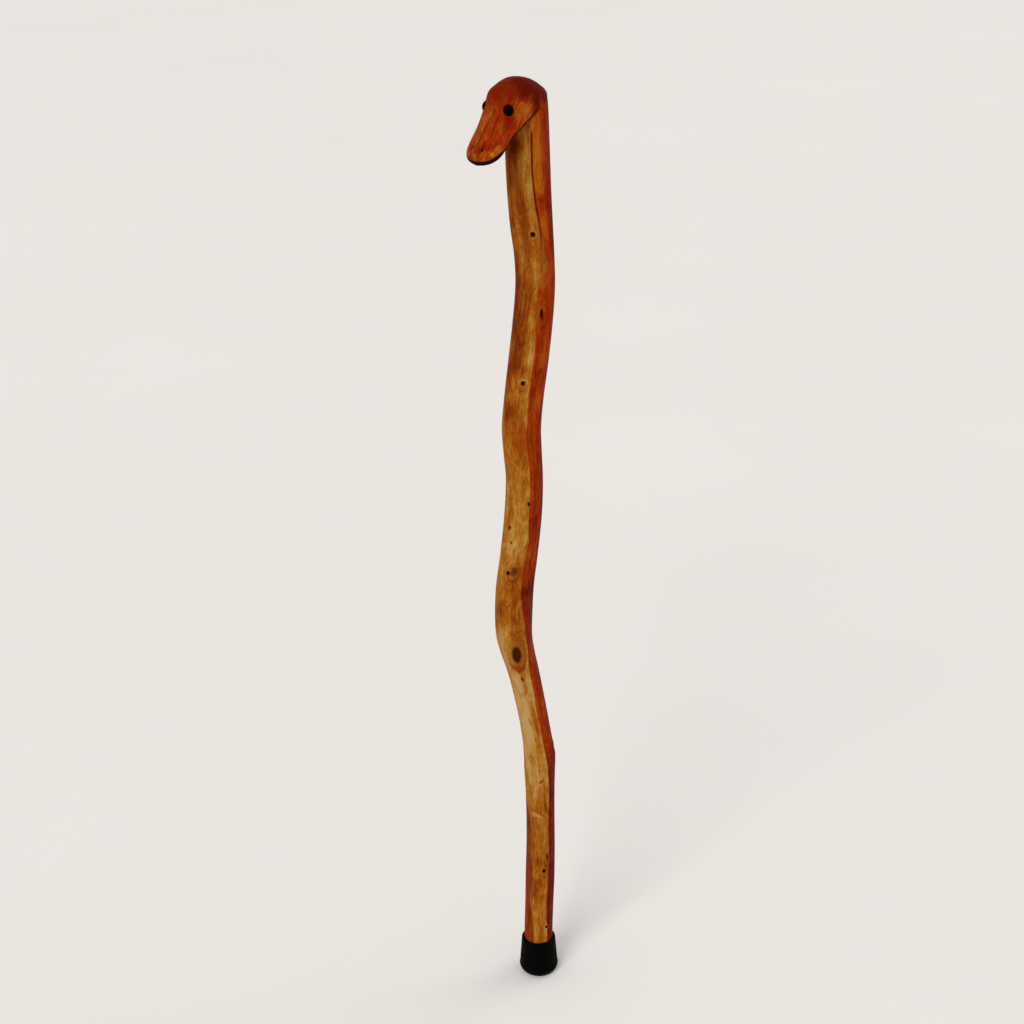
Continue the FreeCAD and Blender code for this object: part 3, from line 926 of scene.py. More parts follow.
@dataclass
class Branch:
    """The peeled branch, from its whittled foot to the slanted joint."""

    joint: JointPlane
    shoulder: float = 39.5 * MM
    foot_width: float = 28.8 * MM
    neck_width: float = 38.9 * MM
    bend_reach: float = 20.0 * MM
    side_reach: float = 6.0 * MM
    bend_turn: float = 46.0
    corner_turn: float = 316.0
    corner_wind: float = 40.0
    corner_stand: float = 1.02
    corner_soft: float = 3.0
    facet_steps: tuple[float, ...] = (0.167, 0.167, 0.152, 0.153, 0.153, 0.208)
    spigot_radius: float = 13.95 * MM
    spigot_chamfer: float = 1.0 * MM
    spigot_steps: int = 14
    shave_depth: float = 0.20 * MM
    dowel_radius: float = 5.1 * MM
    dowel_depth: float = 45.1 * MM
    dowel_segments: int = 64
    tilt_start: float = 835.0 * MM
    crack_low: float = 753.0 * MM
    crack_high: float = 863.0 * MM
    crack_width: float = 0.75 * MM
    crack_depth: float = 1.5 * MM

    # Where colours fade: heights in millimetres, then turns in degrees
    foot_fade: tuple[float, float] = (195, 235)
    neck_fade: tuple[float, float] = (738, 765)
    heart_end: tuple[float, float] = (84, 100)
    back_start: tuple[float, float] = (150, 158)
    left_end: tuple[float, float] = (128, 140)
    # Painted light: the paler strip just below the joint spans these turns
    painted_light_start: tuple[float, float] = (258, 270)
    painted_light_end: tuple[float, float] = (300, 312)

    # Painted light: how far below the joint the paler strip lies, and how wide it is
    painted_light_drop: float = 1.5 * MM
    painted_light_width: float = 3.2 * MM
    swell: float = 0.12 * MM
    column_steps: Table = ((-4, 4, 0.6), (-85, 45, 1.45), (-180, 180, 2.7))
    row_step: float = 0.5 * MM
    row_growth: float = 0.22
    widest_row: float = 1.9 * MM
    crease: float = 40.0
    marks: tuple[Mark, ...] = tuple(Mark(kind, *row) for kind, rows in MARK_ROWS.items() for row in rows)
    form: SmoothTable = field(default_factory=lambda: SmoothTable(BRANCH_SHARES))
    lead: SmoothTable = field(default_factory=lambda: SmoothTable(LEAD_LINE))
    stain: SmoothTable = field(default_factory=lambda: SmoothTable(STAIN_BY_HEIGHT))
    heartwood: SmoothTable = field(default_factory=lambda: SmoothTable(HEART_BY_HEIGHT))
    left_edge: SmoothTable = field(default_factory=lambda: SmoothTable(LEFT_EDGE))

    def lead_turn(self, heights: Points) -> Points:
        """The turn of the lead line at each height."""
        return self.lead(np.asarray(heights) / MM)[..., 0]

    def rows_at(self, heights: Points) -> Points:
        """The branch's shares at each height."""
        return self.form((np.asarray(heights) - self.shoulder) / (self.joint.height - self.shoulder))

    def centre_at(self, heights: Points) -> tuple[Points, Points]:
        """The branch's centre at each height.

        Args:
            heights: heights in metres.

        Returns:
            The centre's x and y.
        """
        rows = self.rows_at(heights)
        turn = math.radians(self.bend_turn)
        along = self.bend_reach * rows[..., 0]
        across = self.side_reach * rows[..., 1]
        x = along * math.cos(turn) - across * math.sin(turn)
        y = along * math.sin(turn) + across * math.cos(turn)
        return x, y

    def neck_centre(self) -> tuple[float, float]:
        """The branch's centre at the height of the joint."""
        return tuple(float(v[0]) for v in self.centre_at(np.array([self.joint.height])))

    def facet_radius(self, heights: Points, turns: Points) -> Points:
        """The radius of the six-sided section, with its corners eased.

        Args:
            heights: heights in metres.
            turns: turns in degrees, one for each height.

        Returns:
            The radius at each place.
        """
        rows = self.rows_at(heights)
        half = (self.foot_width + (self.neck_width - self.foot_width) * rows[..., 2]) / 2
        rounding = rows[..., 3]
        corner = self.corner_turn + self.corner_wind * rows[..., 4]
        stand = half * (rounding + (1 - rounding) * self.corner_stand)
        ends = np.cumsum(self.facet_steps) * 360
        starts = np.concatenate([[0.0], ends[:-1]])
        total = np.zeros_like(half)
        weights = {-1.0: 1, -0.5: 2, 0.0: 3, 0.5: 2, 1.0: 1}
        for shift, weight in weights.items():
            past = (turns - corner + shift * self.corner_soft) % 360
            k = np.clip(np.searchsorted(ends, past), 0, len(ends) - 1)
            half_step = np.radians(ends[k] - starts[k]) / 2
            off = np.radians(past - (ends[k] + starts[k]) / 2)
            flat = np.cos(half_step)
            crown = stand * (flat + (1 - flat) * rounding)
            hub = (crown ** 2 - stand ** 2) / (2 * (crown - stand * flat))
            arc = crown - hub
            total += weight * (hub * np.cos(off) + np.sqrt(arc ** 2 - (hub * np.sin(off)) ** 2))
        return total / sum(weights.values())

    def crack_share(self, heights: Points) -> Points:
        """How open the drying crack is at each height."""
        closed = ease(self.crack_high - 10 * MM, self.crack_high, heights)
        return ease(self.crack_low, self.crack_low + 22 * MM, heights) * (1 - closed)

    def relief(self, skin: Skin) -> Points:
        """How far the real surface stands out from each place of the plain section.

        Args:
            skin: the places.

        Returns:
            The relief in metres.
        """
        relief = np.zeros_like(skin.radius)
        for mark in self.marks:
            near, size = mark.reach(skin), mark.width * MM
            if mark.kind is MarkKind.PIN_HOLE:
                relief -= 0.95 * size * mark.strength * (1 - ease(0.45, 1.02, near))
                relief += 0.05 * size * bell(near - 1.35, 0.35)
            elif mark.kind is MarkKind.SLIT:
                relief -= 0.7 * size * mark.strength * (1 - ease(0.15, 1.05, near))
                relief += 0.06 * size * bell(near - 1.35, 0.35)
            elif mark.kind is MarkKind.KNOT:
                relief += mark.strength * MM * (1.0 * bell(near, 2.1) + 0.32 * bell(near - 1.5, 0.3))
                relief -= mark.strength * MM * 1.25 * (1 - ease(0.3, 1.1, near))
            elif mark.kind is MarkKind.PALE:
                relief -= 0.35 * MM * mark.strength * (1 - ease(0.6, 1.3, near))
        away, share = skin.across(self.lead_turn(skin.height)), self.crack_share(skin.height)
        relief -= self.crack_depth * share * bell(away, self.crack_width)
        relief += 0.30 * MM * share * bell(away + 1.3 * MM, 0.9 * MM)
        return relief

    def column_turns(self) -> Points:
        """Spaces the mesh's columns, closest together at the lead line.

        Returns:
            Their turns from the lead line.
        """
        def spacing(turn: float) -> float:
            """Degrees between columns at one turn from the line."""
            return next(step for low, high, step in self.column_steps if low <= turn <= high)
        return np.array(spaced(-180.0, 180.0, spacing)[:-1])

    def row_heights(self) -> Points:
        """Spaces the mesh's rows, closest together at the marks.

        Returns:
            Their heights.
        """
        spots = [(m.height * MM, (m.length / 2 + 1.0) * MM) for m in self.marks]

        def spacing(height: float) -> float:
            """Metres between rows at one height."""
            gap = min(max(abs(height - at) - reach, 0) for at, reach in spots)
            return min(self.row_step + self.row_growth * gap, self.widest_row)
        return np.array(spaced(self.shoulder, self.joint.height + 20 * MM, spacing))

    def surface(self) -> tuple[Points, int]:
        """The points of the branch's surface, row by row.

        Returns:
            The points of all rows, and how many points a row has.
        """
        columns = self.column_turns()
        rows = self.row_heights()
        middle = self.neck_centre()[1]
        lift = np.clip((rows - self.tilt_start) / (rows[-1] - self.tilt_start), 0, 1)[:, None]
        top = np.full(len(columns), self.joint.height)
        for _ in range(4):
            turns = self.lead_turn(top) + columns
            y = self.centre_at(top)[1] + self.facet_radius(top, turns) * np.sin(np.radians(turns))
            top = self.joint.height + math.tan(self.joint.slope) * (y - middle)
        heights = np.where(lift > 0, self.tilt_start + (top - self.tilt_start) * lift, rows[:, None])
        pulled = self.lead_turn(heights) + columns
        radius = self.facet_radius(heights, pulled)
        radius = radius + self.relief(Skin(heights, pulled, radius))
        x, y = self.centre_at(heights)
        angle = np.radians(pulled)
        points = np.stack([x + radius * np.cos(angle), y + radius * np.sin(angle), heights], -1)
        points = points.reshape(-1, 3)
        swell = (grain_noise(points, 16 * MM, 42 * MM, 4.2) - 1) * self.swell
        fade = (1 - lift.repeat(len(columns), 1)).ravel()
        outward = np.stack([np.cos(angle).ravel(), np.sin(angle).ravel(), np.zeros(angle.size)], -1)
        return points + outward * (swell * fade)[:, None], len(columns)

    def foot_rings(self, columns: int, turns: Points) -> Points:
        """The whittled foot's rings, from its bottom face up to the shoulder.

        Args:
            columns: how many points a ring has.
            turns: the rings' turns in degrees.

        Returns:
            The rings' points.
        """
        low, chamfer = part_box("shaft")[0].z, self.spigot_chamfer
        rise = self.shoulder - low - chamfer
        profile = [(self.spigot_radius - chamfer, low)]
        for k in range(self.spigot_steps + 1):
            profile.append((self.spigot_radius, low + chamfer + rise * k / self.spigot_steps))
        rings = []
        for radius, height in profile:
            cuts = 9 + 2 * math.sin(height / (6 * MM))
            shave = self.shave_depth * np.abs(np.sin(np.radians(turns) * cuts / 2 + height / (9 * MM)))
            rings.append(Skin(np.full(columns, height), turns, radius - shave).unbent(turns))
        return np.concatenate(rings)

    def build(self) -> Object:
        """Makes the branch's mesh.

        Returns:
            The branch.
        """
        surface, columns = self.surface()
        turns = self.column_turns() + self.lead_turn(np.array([self.shoulder]))[0]
        foot = self.foot_rings(columns, turns)
        points = np.concatenate([foot, surface])
        rings = len(points) // columns
        faces = ring_faces(rings, columns)
        faces.append(tuple(reversed(range(columns))))
        faces.append(tuple(range((rings - 1) * columns, rings * columns)))
        piece = new_piece("branch_shaft", points, faces)
        hole = turned_piece("dowel_hole", [(0, 0), (self.dowel_radius, 0), (self.dowel_radius, 1), (0, 1)],
                            self.dowel_segments)
        hole.data.transform(Matrix.Translation((*self.neck_centre(), self.joint.height - self.dowel_depth))
                            @ Matrix.Diagonal((1, 1, 2 * self.dowel_depth, 1)))
        carved(piece, [hole])
        smooth_shaded(piece, self.crease)
        return piece

    def dress(self, piece: Object) -> None:
        """Works out where the colours and the grain run, and gives the branch its finish.

        Args:
            piece: the branch.
        """
        places = place_array(piece)
        height = places[:, 2]
        x, y = self.centre_at(height)
        turn = np.degrees(np.arctan2(places[:, 1] - y, places[:, 0] - x))
        radius = np.hypot(places[:, 0] - x, places[:, 1] - y)
        off = wrapped(turn - self.lead_turn(height))
        h = height / MM
        wander = grain_noise(places, 9 * MM, 60 * MM, 8.1) * 5
        ragged = grain_noise(places, 5 * MM, 13 * MM, 3.3) * 4
        skin = Skin(height, turn, radius)
        tints = {name: sum(Tint(*row).reach(skin) for row in rows) for name, rows in TINT_ROWS.items()}
        marks = self.mark_masks(skin)
        above_foot, neck = ease(*self.foot_fade, h), ease(*self.neck_fade, h)

        deep, shift = self.heartwood(h).T
        loose = ease(0.5, 4.0, np.abs(shift))
        heart = ease(-0.8, 0.8, off - shift + 0.15 * wander + loose * ragged)
        heart = heart * (1 - ease(*self.heart_end, off + 2 * wander))
        back = ease(*self.back_start, np.abs(off) + 2 * wander) * ease(-0.3, 0.3, np.cos(h / 95) + 0.4)
        heart = np.maximum(heart, back)
        # The heartwood deepens past 30 degrees round from the lead line, and at the neck past 14: partly its
        # own darker red-brown, partly painted shade on the side turned from the key lamp
        deep = deep + 0.8 * marks["stain"] + tints["heart"] + 0.12 * ease(30, 60, off)
        deep = deep + neck * (0.72 * ease(14, 40, off) + 0.02 * wander)

        # Painted light: a paler strip just below the joint on the front, under the jaw, lifts the shade that
        # falls there
        below = (np.array([0, 0, self.joint.height]) - places) @ self.joint.out()
        below = below - y * math.sin(self.joint.slope)
        rim = bell(below - self.painted_light_drop, self.painted_light_width) * ease(*self.painted_light_start, turn % 360)
        rim = rim * (1 - ease(*self.painted_light_end, turn % 360))
        left = ease(-2.0, 2.0, wrapped(self.left_edge(h)[..., 0] - turn) + 0.5 * wander)
        left = left * (1 - ease(*self.left_end, -off + wander)) * (1 - above_foot)
        stain = self.stain(h)[..., 0] + tints["brown"] - tints["clear"] - 0.6 * rim + marks["stain"]
        # Painted shade: the sapwood browns from 50 to 95 degrees short of the lead line, towards that side's
        # edge
        stain = stain + 0.58 * left + 0.18 * ease(-50, -95, off) * above_foot
        store(piece, "grain", self.grain_places(skin))
        masks = {"heart": heart, "deep": deep, "stain": stain, "olive": tints["olive"] + marks["olive"],
                 "red": tints["red"] + 0.25 * left, "dark": marks["dark"], "light": marks["light"]}
        for name, values in masks.items():
            store(piece, name, values if name in ("deep", "stain") else np.clip(values, 0, 1))
        coat(piece, BranchFinish().material())

    def grain_places(self, skin: Skin) -> Points:
        """Places with the branch's bends taken out and the grain parted round each mark.

        Args:
            skin: the places on the branch.

        Returns:
            The straightened places.
        """
        shift = np.zeros_like(skin.height)
        for mark in self.marks:
            across, along = mark.offsets(skin)
            size = 0.62 * mark.width * MM
            near = across ** 2 + (along * mark.width / mark.length) ** 2 + (0.35 * size) ** 2
            share = np.clip(mark.strength, 0, 1) * bell(along, 3 * mark.length * MM)
            shift -= across * size ** 2 / near * share
        past_lead = skin.turn - (self.lead_turn(skin.height) - self.corner_turn)
        return skin.unbent(past_lead + np.degrees(shift / np.maximum(skin.radius, MM)))

    def mark_masks(self, skin: Skin) -> dict[str, Points]:
        """Where the marks are dark or olive, and where the wood beside them is pale or stained.

        Args:
            skin: the places on the branch.

        Returns:
            The dark, light, olive and stain masks by name.
        """
        dark, light, olive, stain = (np.zeros_like(skin.height) for _ in range(4))
        ripple = grain_noise(skin.unbent(skin.turn), 3.5 * MM, 7 * MM, 6.6)
        for mark in self.marks:
            near = mark.reach(skin)
            if mark.kind is MarkKind.PIN_HOLE:
                # Painted shade: the hole is dark inside
                dark = np.maximum(dark, mark.strength * (1 - ease(0.75, 1.12, near)))
                light = np.maximum(light, 0.13 * mark.strength ** 3 * bell(near - 1.45, 0.30))
            elif mark.kind is MarkKind.SLIT:
                # Painted shade: the slit is dark inside
                dark = np.maximum(dark, 0.95 * mark.strength ** 2 * (1 - ease(0.5, 1.15, near)))
                stain += 2.2 * mark.strength * (1 - mark.strength) * (1 - ease(0.6, 1.5, near))
                light = np.maximum(light, 0.04 * bell(near - 1.7, 0.4))
            elif mark.kind is MarkKind.KNOT:
                below = ease(0.2, -0.6, mark.offsets(skin)[1] / (mark.length * MM))
                dark = np.maximum(dark, 0.96 * mark.strength * (1 - ease(0.66, 1.10, near + 0.12 * ripple)))
                olive = np.maximum(olive, 0.46 * mark.strength * (1 - 0.6 * below) * bell(near - 0.9, 0.7))
                stain += mark.strength * (0.30 + 0.35 * below) * bell(near - 1.75 + 0.1 * ripple, 0.20)
                stain += 0.15 * mark.strength * bell(near - 2.5 + 0.2 * ripple, 0.25)
            elif mark.kind is MarkKind.CURL:
                arcs = np.cos(near * 6.5 + 2.2 * ripple) * (0.55 + 0.9 * ripple)
                stain += 0.26 * mark.strength * arcs * bell(near - 0.8, 0.75)
            elif mark.kind is MarkKind.SMUDGE:
                olive = np.maximum(olive, mark.strength * bell(near - 0.8, 0.35))
            elif mark.kind is MarkKind.PALE:
                light = np.maximum(light, mark.strength * (1 - ease(0.35, 1.20, near + 0.5 * ripple)))
        away, share = skin.across(self.lead_turn(skin.height)), self.crack_share(skin.height)
        # Painted shade: the crack is dark inside
        dark = np.maximum(dark, 0.56 * share * bell(away - 0.1 * MM, 0.62 * MM))
        stain += 0.55 * share * bell(away - 0.3 * MM, 1.0 * MM)
        light = np.maximum(light, 0.16 * share * bell(away + 1.7 * MM, 0.9 * MM))
        return {"dark": dark, "light": light, "olive": olive, "stain": stain}


# Place along the joint from nape to tip, half width as a share of the neck's, and depth
HEAD_SHARES = (
    (0.02, 0.062, 0.045), (0.03, 0.285, 0.129), (0.054, 0.509, 0.244), (0.095, 0.72, 0.486),
    (0.145, 0.869, 0.662), (0.212, 0.965, 0.814), (0.29, 0.965, 0.913), (0.371, 0.948, 0.97),
    (0.454, 0.895, 1), (0.515, 0.9, 0.888), (0.621, 0.84, 0.698), (0.704, 0.895, 0.544),
    (0.777, 0.975, 0.425), (0.84, 1.015, 0.326), (0.897, 0.96, 0.25), (0.952, 0.75, 0.188),
    (0.984, 0.45, 0.116), (1, 0.06, 0.038),
)


@dataclass(frozen=True)
class EyeSeat:
    """Where an eye sits: its place along the head, and its turn round the head's section."""

    name: str
    place: float
    turn: float


@dataclass(frozen=True)
class Spot:
    """A patch of colour on the head: down the joint, to the left and square to it, in millimetres."""

    along: float
    left: float
    out: float
    reach: float
    strength: float
    both_sides: float = 0.0


# Patches of colour on the head, from brown streaks to the dark red-brown crown and the wine-red wood behind
# the cheeks, with a painted shadow on the crown above the right eye and a painted highlight along the jaw's
# lower edges: the fields of Spot in each row
SPOT_ROWS = {
    "umber": (
        (44, -14, 9, 16, 0.25), (48.5, 4, 16, 5, 0.3), (70.5, 0, 5, 8, 0.7), (30, 1, 30, 8, 0.3),
        (64, -10, 7, 6, 0.4),),
    "red": (
        (44.6, 15.8, 9.9, 8, 0.7, 0.5), (38.5, 15.9, 6.6, 7, 0.7, 0.5), (50, 14.5, 11, 6.5, 0.62, 0.3),
        (63.5, -2.4, 8.7, 4.2, 0.75), (60.5, 5.2, 10, 4.8, 0.88), (59.1, 12.3, 9.4, 4.2, 0.82),
        (53, 17.4, 8, 4, 0.78, 0.5), (29.5, 13, 21, 7, 0.6, 0.5), (20, 8, 30, 8, 0.6),
        (29.5, 8.5, 26.5, 5.5, 0.7), (35.4, 10.4, 21, 6, 0.7), (45, 9.5, 16, 5, 0.45),
        (53, 7.5, 13, 5.5, 0.72), (66.5, 2, 7.8, 5, 0.6), (62, -9, 8, 3.5, 0.55),
        (25, 16.5, 17, 6, 0.45, 0.5), (29, 18, 7, 6, 0.6, 0.5), (47, 4, 17, 5, 0.2),),
    "bright": (
        (15, 17.3, 11.9, 6.5, 0.95, 0.8), (15.5, 16.1, 17.6, 4, 0.7, 0.8), (12.2, 18.3, 6, 4.5, 0.88, 0.8),
        # The bright spots 56.5 and 46 millimetres down the joint, low on the bill's sides, are a painted
        # highlight along the jaw's lower edge
        (23.5, 17.2, 9, 4.6, 0.52, 0.6), (63, 17, 5.4, 4.6, 0.95), (56.5, 18.9, 4.8, 3.6, 0.7, 0.6),
        (68.5, 10.5, 6, 4, 0.62), (46, 18, 2.8, 3, 0.4, 0.6),),
    "yellow": (
        (63.5, 16.5, 6, 2.9, 0.9), (58.3, 18.8, 5.5, 2.2, 0.6), (67, 12, 6.6, 2.2, 0.55),
        (14, 18, 9, 3, 0.5, 0.7), (19, 17.6, 12.5, 2, 0.45, 0.5),),
    "dusk": (
        (0, 4, 30, 13, 0.97, 0.8), (10.4, 6.6, 32.3, 10, 0.97, 0.8), (19, 2, 35, 8, 0.92, 0.8),
        # The spot 28.5 down the joint, 1.5 to the right and 32.5 out is a painted shadow on the crown above
        # the right eye
        (24, 6.5, 31, 6.5, 0.8, 0.5), (28.5, -1.5, 32.5, 5, 0.8), (16, 11, 28.5, 6.5, 0.85, 0.6),
        (6.2, 14.8, 22.2, 7, 0.88, 0.7), (11.4, 15.8, 20.5, 4.5, 0.75, 0.6), (-2, 16, 16, 9, 0.92, 0.8),
        (30, 8, 27, 4.5, 0.5), (61, 4, 10, 5, 0.35),),
    "crimson": (
        (29.5, 15.8, 13.5, 4.6, 0.8, 0.6), (62.6, 4.6, 8, 3.6, 0.75), (57.5, 3.5, 11, 4, 0.35),
        (26.5, 14.6, 20, 7.8, 0.55, 0.7), (58, 10.5, 10.2, 5, 0.6), (65, 0, 8, 4.2, 0.55),
        (53.3, 18, 7.2, 3.2, 0.45), (17.7, 13, 26.7, 4.8, 0.92, 0.6), (13.8, 11.9, 28.5, 4.6, 0.75, 0.5),
        (32.5, 15.6, 13.8, 5.6, 0.9, 0.6), (38, 15.4, 11, 4.8, 0.62, 0.5), (24, 3.1, 33.1, 3.6, 0.6),
        (9.5, 15.4, 20.5, 4.8, 0.8, 0.5), (63.5, -2.4, 8.7, 3.8, 0.55), (61.3, 5.4, 10, 4.4, 0.88),
        (59.1, 12.3, 9.4, 3.8, 0.62), (53.5, 15, 10, 3.4, 0.35),),
    "maroon": (
        (8.5, 19, 1.5, 5, 0.75, 0.6), (-3, 8, 27, 9.5, 0.85, 0.7), (-3.5, 13, 21, 7, 0.9, 0.7),
        (1, 11, 26, 8.5, 0.85, 0.7), (6, 14.5, 22, 5.5, 0.6, 0.6), (-3.5, 16, 16, 7.5, 0.9, 0.7),
        (-1, 18.2, 9.7, 5.5, 0.9, 0.7), (2.7, 18.7, 3.3, 5, 0.85, 0.7), (8.5, 18.7, 0.5, 3.5, 0.6, 0.5),),
}

# Grain lines down the bill: places along the joint and to the left, in millimetres, with each line's
# strength and thickness
GRAIN_LINES = (
    (((31, 7.2), (36.4, 5.6), (46.4, 2.1), (55.6, -0.6), (60.1, -1.9), (63, -2.2)), 0.95, 0.62),
    (((33, 10.4), (36.3, 9.8), (44.3, 9.4), (50.6, 9.4), (53.5, 9.9)), 0.75, 0.6),
    (((38, -3.5), (50, -5.6), (60, -6.6)), 0.35, 0.5),
    (((38, 13.4), (46, 12.6), (55, 13.4)), 0.3, 0.45),
    (((64, 4.8), (68, 3.2), (72, 1.8)), 0.75, 0.55),
    (((40, -10), (52, -12.5), (60, -13)), 0.3, 0.45),
)


@dataclass
class BirdHead:
    """The carved head: a domed skull and a long flat bill on a flat underside."""

    joint: JointPlane
    neck: tuple[float, float]
    neck_width: float = 38.9 * MM
    length: float = 96.8 * MM
    depth: float = 35.5 * MM
    drift: float = 2.8 * MM
    drift_start: float = 0.6
    dome_power: float = 2.3
    jaw_round: float = 1.3 * MM
    rows: int = 170
    dome_columns: int = 96
    jaw_columns: int = 5
    under_columns: int = 20
    eyes: tuple[EyeSeat, ...] = (
        EyeSeat("left", 0.520, math.radians(38.0)), EyeSeat("right", 0.550, math.radians(124.0)))
    eye_radius: float = 4.8 * MM
    eye_depth: float = 3.4 * MM
    stem_radius: float = 0.9 * MM
    stem_depth: float = 12.4 * MM
    facing_step: float = 0.02
    nostril_radius: float = 1.3 * MM
    nostril_depth: float = 3.5 * MM
    nostril_place: float = 0.897
    nostril_spacing: float = 13.0 * MM
    nostril_shift: float = -0.6 * MM
    dowel_radius: float = 5.1 * MM
    dowel_height: float = 15.1 * MM
    tool_reach: float = 12.0 * MM
    tool_segments: int = 72
    crease: float = 38.0
    knife_depth: float = 0.13 * MM
    under_hollow: float = 0.25 * MM
    nostril_shadows: Table = ((62.1, 5.7, 9.0), (61.7, -7.0, 8.9))
    shadow_reach: float = 2.0

    def nape_reach(self) -> float:
        """How far the nape lies up the joint from the neck's centre."""
        return self.neck_width / 2 / math.cos(self.joint.slope)

    def form(self) -> SmoothTable:
        """Lays the head's rows over the distance walked from one to the next.

        Returns:
            The table.
        """
        walked = [0.0]
        for before, after in zip(HEAD_SHARES, HEAD_SHARES[1:]):
            run = (after[0] - before[0]) * self.length
            spread = (after[1] - before[1]) * self.neck_width / 2
            walked.append(walked[-1] + math.hypot(run, spread))
        return SmoothTable(tuple((w, *row) for w, row in zip(walked, HEAD_SHARES)))

    def row_sizes(self, shares: Points) -> tuple[Points, Points, Points, Points]:
        """Sizes of the head's sections.

        Args:
            shares: rows of place, width and depth shares.

        Returns:
            The place along the joint, half width, depth and sideways drift.
        """
        place, width, depth = shares[..., 0], shares[..., 1], shares[..., 2]
        past = np.clip((place - self.drift_start) / (1 - self.drift_start), 0, None)
        return (self.length * place - self.nape_reach(), self.neck_width / 2 * width,
                self.depth * depth, self.drift * past ** 2)

    def section(self, along: float, half: float, depth: float, drift: float) -> Points:
        """One closed section: the dome from left to right, then the flat underside.

        Args:
            along: the section's place along the joint.
            half: its half width.
            depth: its depth.
            drift: its sideways drift.

        Returns:
            The section's points in head places.
        """
        loose = float(ease(2 * MM, 16 * MM, np.array(along)))
        rounding = min(self.jaw_round * max(loose, 0.04), 0.35 * depth, 0.35 * half)
        power = 2 / self.dome_power
        start = math.asin(min((rounding / depth) ** (1 / power), 0.9))
        turns = np.linspace(start, math.pi - start, self.dome_columns)
        across = np.sign(np.cos(turns)) * np.abs(np.cos(turns)) ** power * half
        up = np.sin(turns) ** power * depth
        corner = np.arange(self.jaw_columns) * math.pi / 2 / self.jaw_columns
        low = rounding * (1 - np.cos(corner))
        wall = (1 - (low / depth) ** self.dome_power) ** (1 / self.dome_power) * half
        wall = wall - (rounding - np.sqrt(np.maximum(rounding ** 2 - (rounding - low) ** 2, 0)))
        across = np.concatenate([wall, across, -wall[::-1]])
        up = np.concatenate([low, up, low[::-1]])
        inner = np.linspace(-1, 1, self.under_columns + 2)[1:-1] * wall[0]
        hollow = self.under_hollow * loose * (1 - (inner / wall[0]) ** 2)
        across = np.concatenate([across, inner])
        up = np.concatenate([up, hollow])
        return np.stack([np.full(len(across), along), across + drift, up], -1)

    def to_stick(self, places: Points) -> Points:
        """Takes head places to the stick's frame.

        Args:
            places: down the joint, to the left, and square to the joint.

        Returns:
            The same places in the stick's frame.
        """
        origin = np.array([self.neck[0], self.neck[1], self.joint.height])
        return origin + places[:, :1] * self.joint.down() + places[:, 1:2] * np.array([1.0, 0, 0]) \
            + places[:, 2:] * self.joint.out()

    def from_stick(self, points: Points) -> Points:
        """Takes places in the stick's frame to head places."""
        away = points - np.array([self.neck[0], self.neck[1], self.joint.height])
        return np.stack([away @ self.joint.down(), away[:, 0], away @ self.joint.out()], -1)

    def knife_marks(self, places: Points) -> Points:
        """Shallow hollows left by the knife and sandpaper.

        Args:
            places: head places.

        Returns:
            The depth of each place's hollow.
        """
        wide = grain_noise(places[:, [1, 2, 0]], 11 * MM, 20 * MM, 2.7)
        return self.knife_depth * (1 + wide) * ease(1 * MM, 6 * MM, places[:, 2])

    def sizes_at(self, share: float) -> tuple[float, float, float, float]:
        """The head's section at one place.

        Args:
            share: the share of the head's length.

        Returns:
            The place along the joint, half width, depth and drift.
        """
        rows = np.array(HEAD_SHARES)
        shares = np.array([share] + [np.interp(share, rows[:, 0], rows[:, c]) for c in (1, 2)])
        return tuple(float(v) for v in self.row_sizes(shares))

    def dome_place(self, share: float, turn: float) -> Points:
        """A place on the dome.

        Args:
            share: the share of the head's length.
            turn: the turn round the section from its left edge.

        Returns:
            The place in head places.
        """
        along, half, depth, drift = self.sizes_at(share)
        power = 2 / self.dome_power
        across = math.copysign(abs(math.cos(turn)) ** power, math.cos(turn))
        return np.array([along, drift + half * across, depth * math.sin(turn) ** power])

    def dome_facing(self, share: float, turn: float) -> Points:
        """The way that the dome faces at one of its places.

        Args:
            share: the share of the head's length.
            turn: the turn round the section from its left edge.

        Returns:
            The way, as a step of length 1 in head places.
        """
        step = self.facing_step
        along = self.dome_place(share + step, turn) - self.dome_place(share - step, turn)
        around = self.dome_place(share, turn + step) - self.dome_place(share, turn - step)
        way = np.cross(around, along)
        return way / np.linalg.norm(way)

    def nostril_turn(self, side: int) -> float:
        """Finds a nostril on the bill's section, from the nostrils' spacing.

        Args:
            side: 1 for the left nostril, -1 for the right.

        Returns:
            Its turn round the section.
        """
        _, half, _, drift = self.sizes_at(self.nostril_place)
        across = (self.nostril_shift + side * self.nostril_spacing / 2 - drift) / half
        return math.acos(math.copysign(abs(across) ** (self.dome_power / 2), across))

    def drill(self, name: str, at: Points, way: Points, outline: Outline) -> Object:
        """Makes a turned tool with its axis through a place of the head.

        Args:
            name: the tool's name.
            at: where its zero height lies, in head places.
            way: the way that its heights run, in head places.
            outline: its radius and height, from its tip outwards.

        Returns:
            The tool.
        """
        tool = turned_piece(name, outline, self.tool_segments)
        start = self.to_stick(at[None, :])[0]
        end = self.to_stick((at + way)[None, :])[0]
        turn = Vector((0, 0, 1)).rotation_difference(Vector(end - start)).to_matrix().to_4x4()
        tool.data.transform(Matrix.Translation(Vector(start)) @ turn)
        return tool

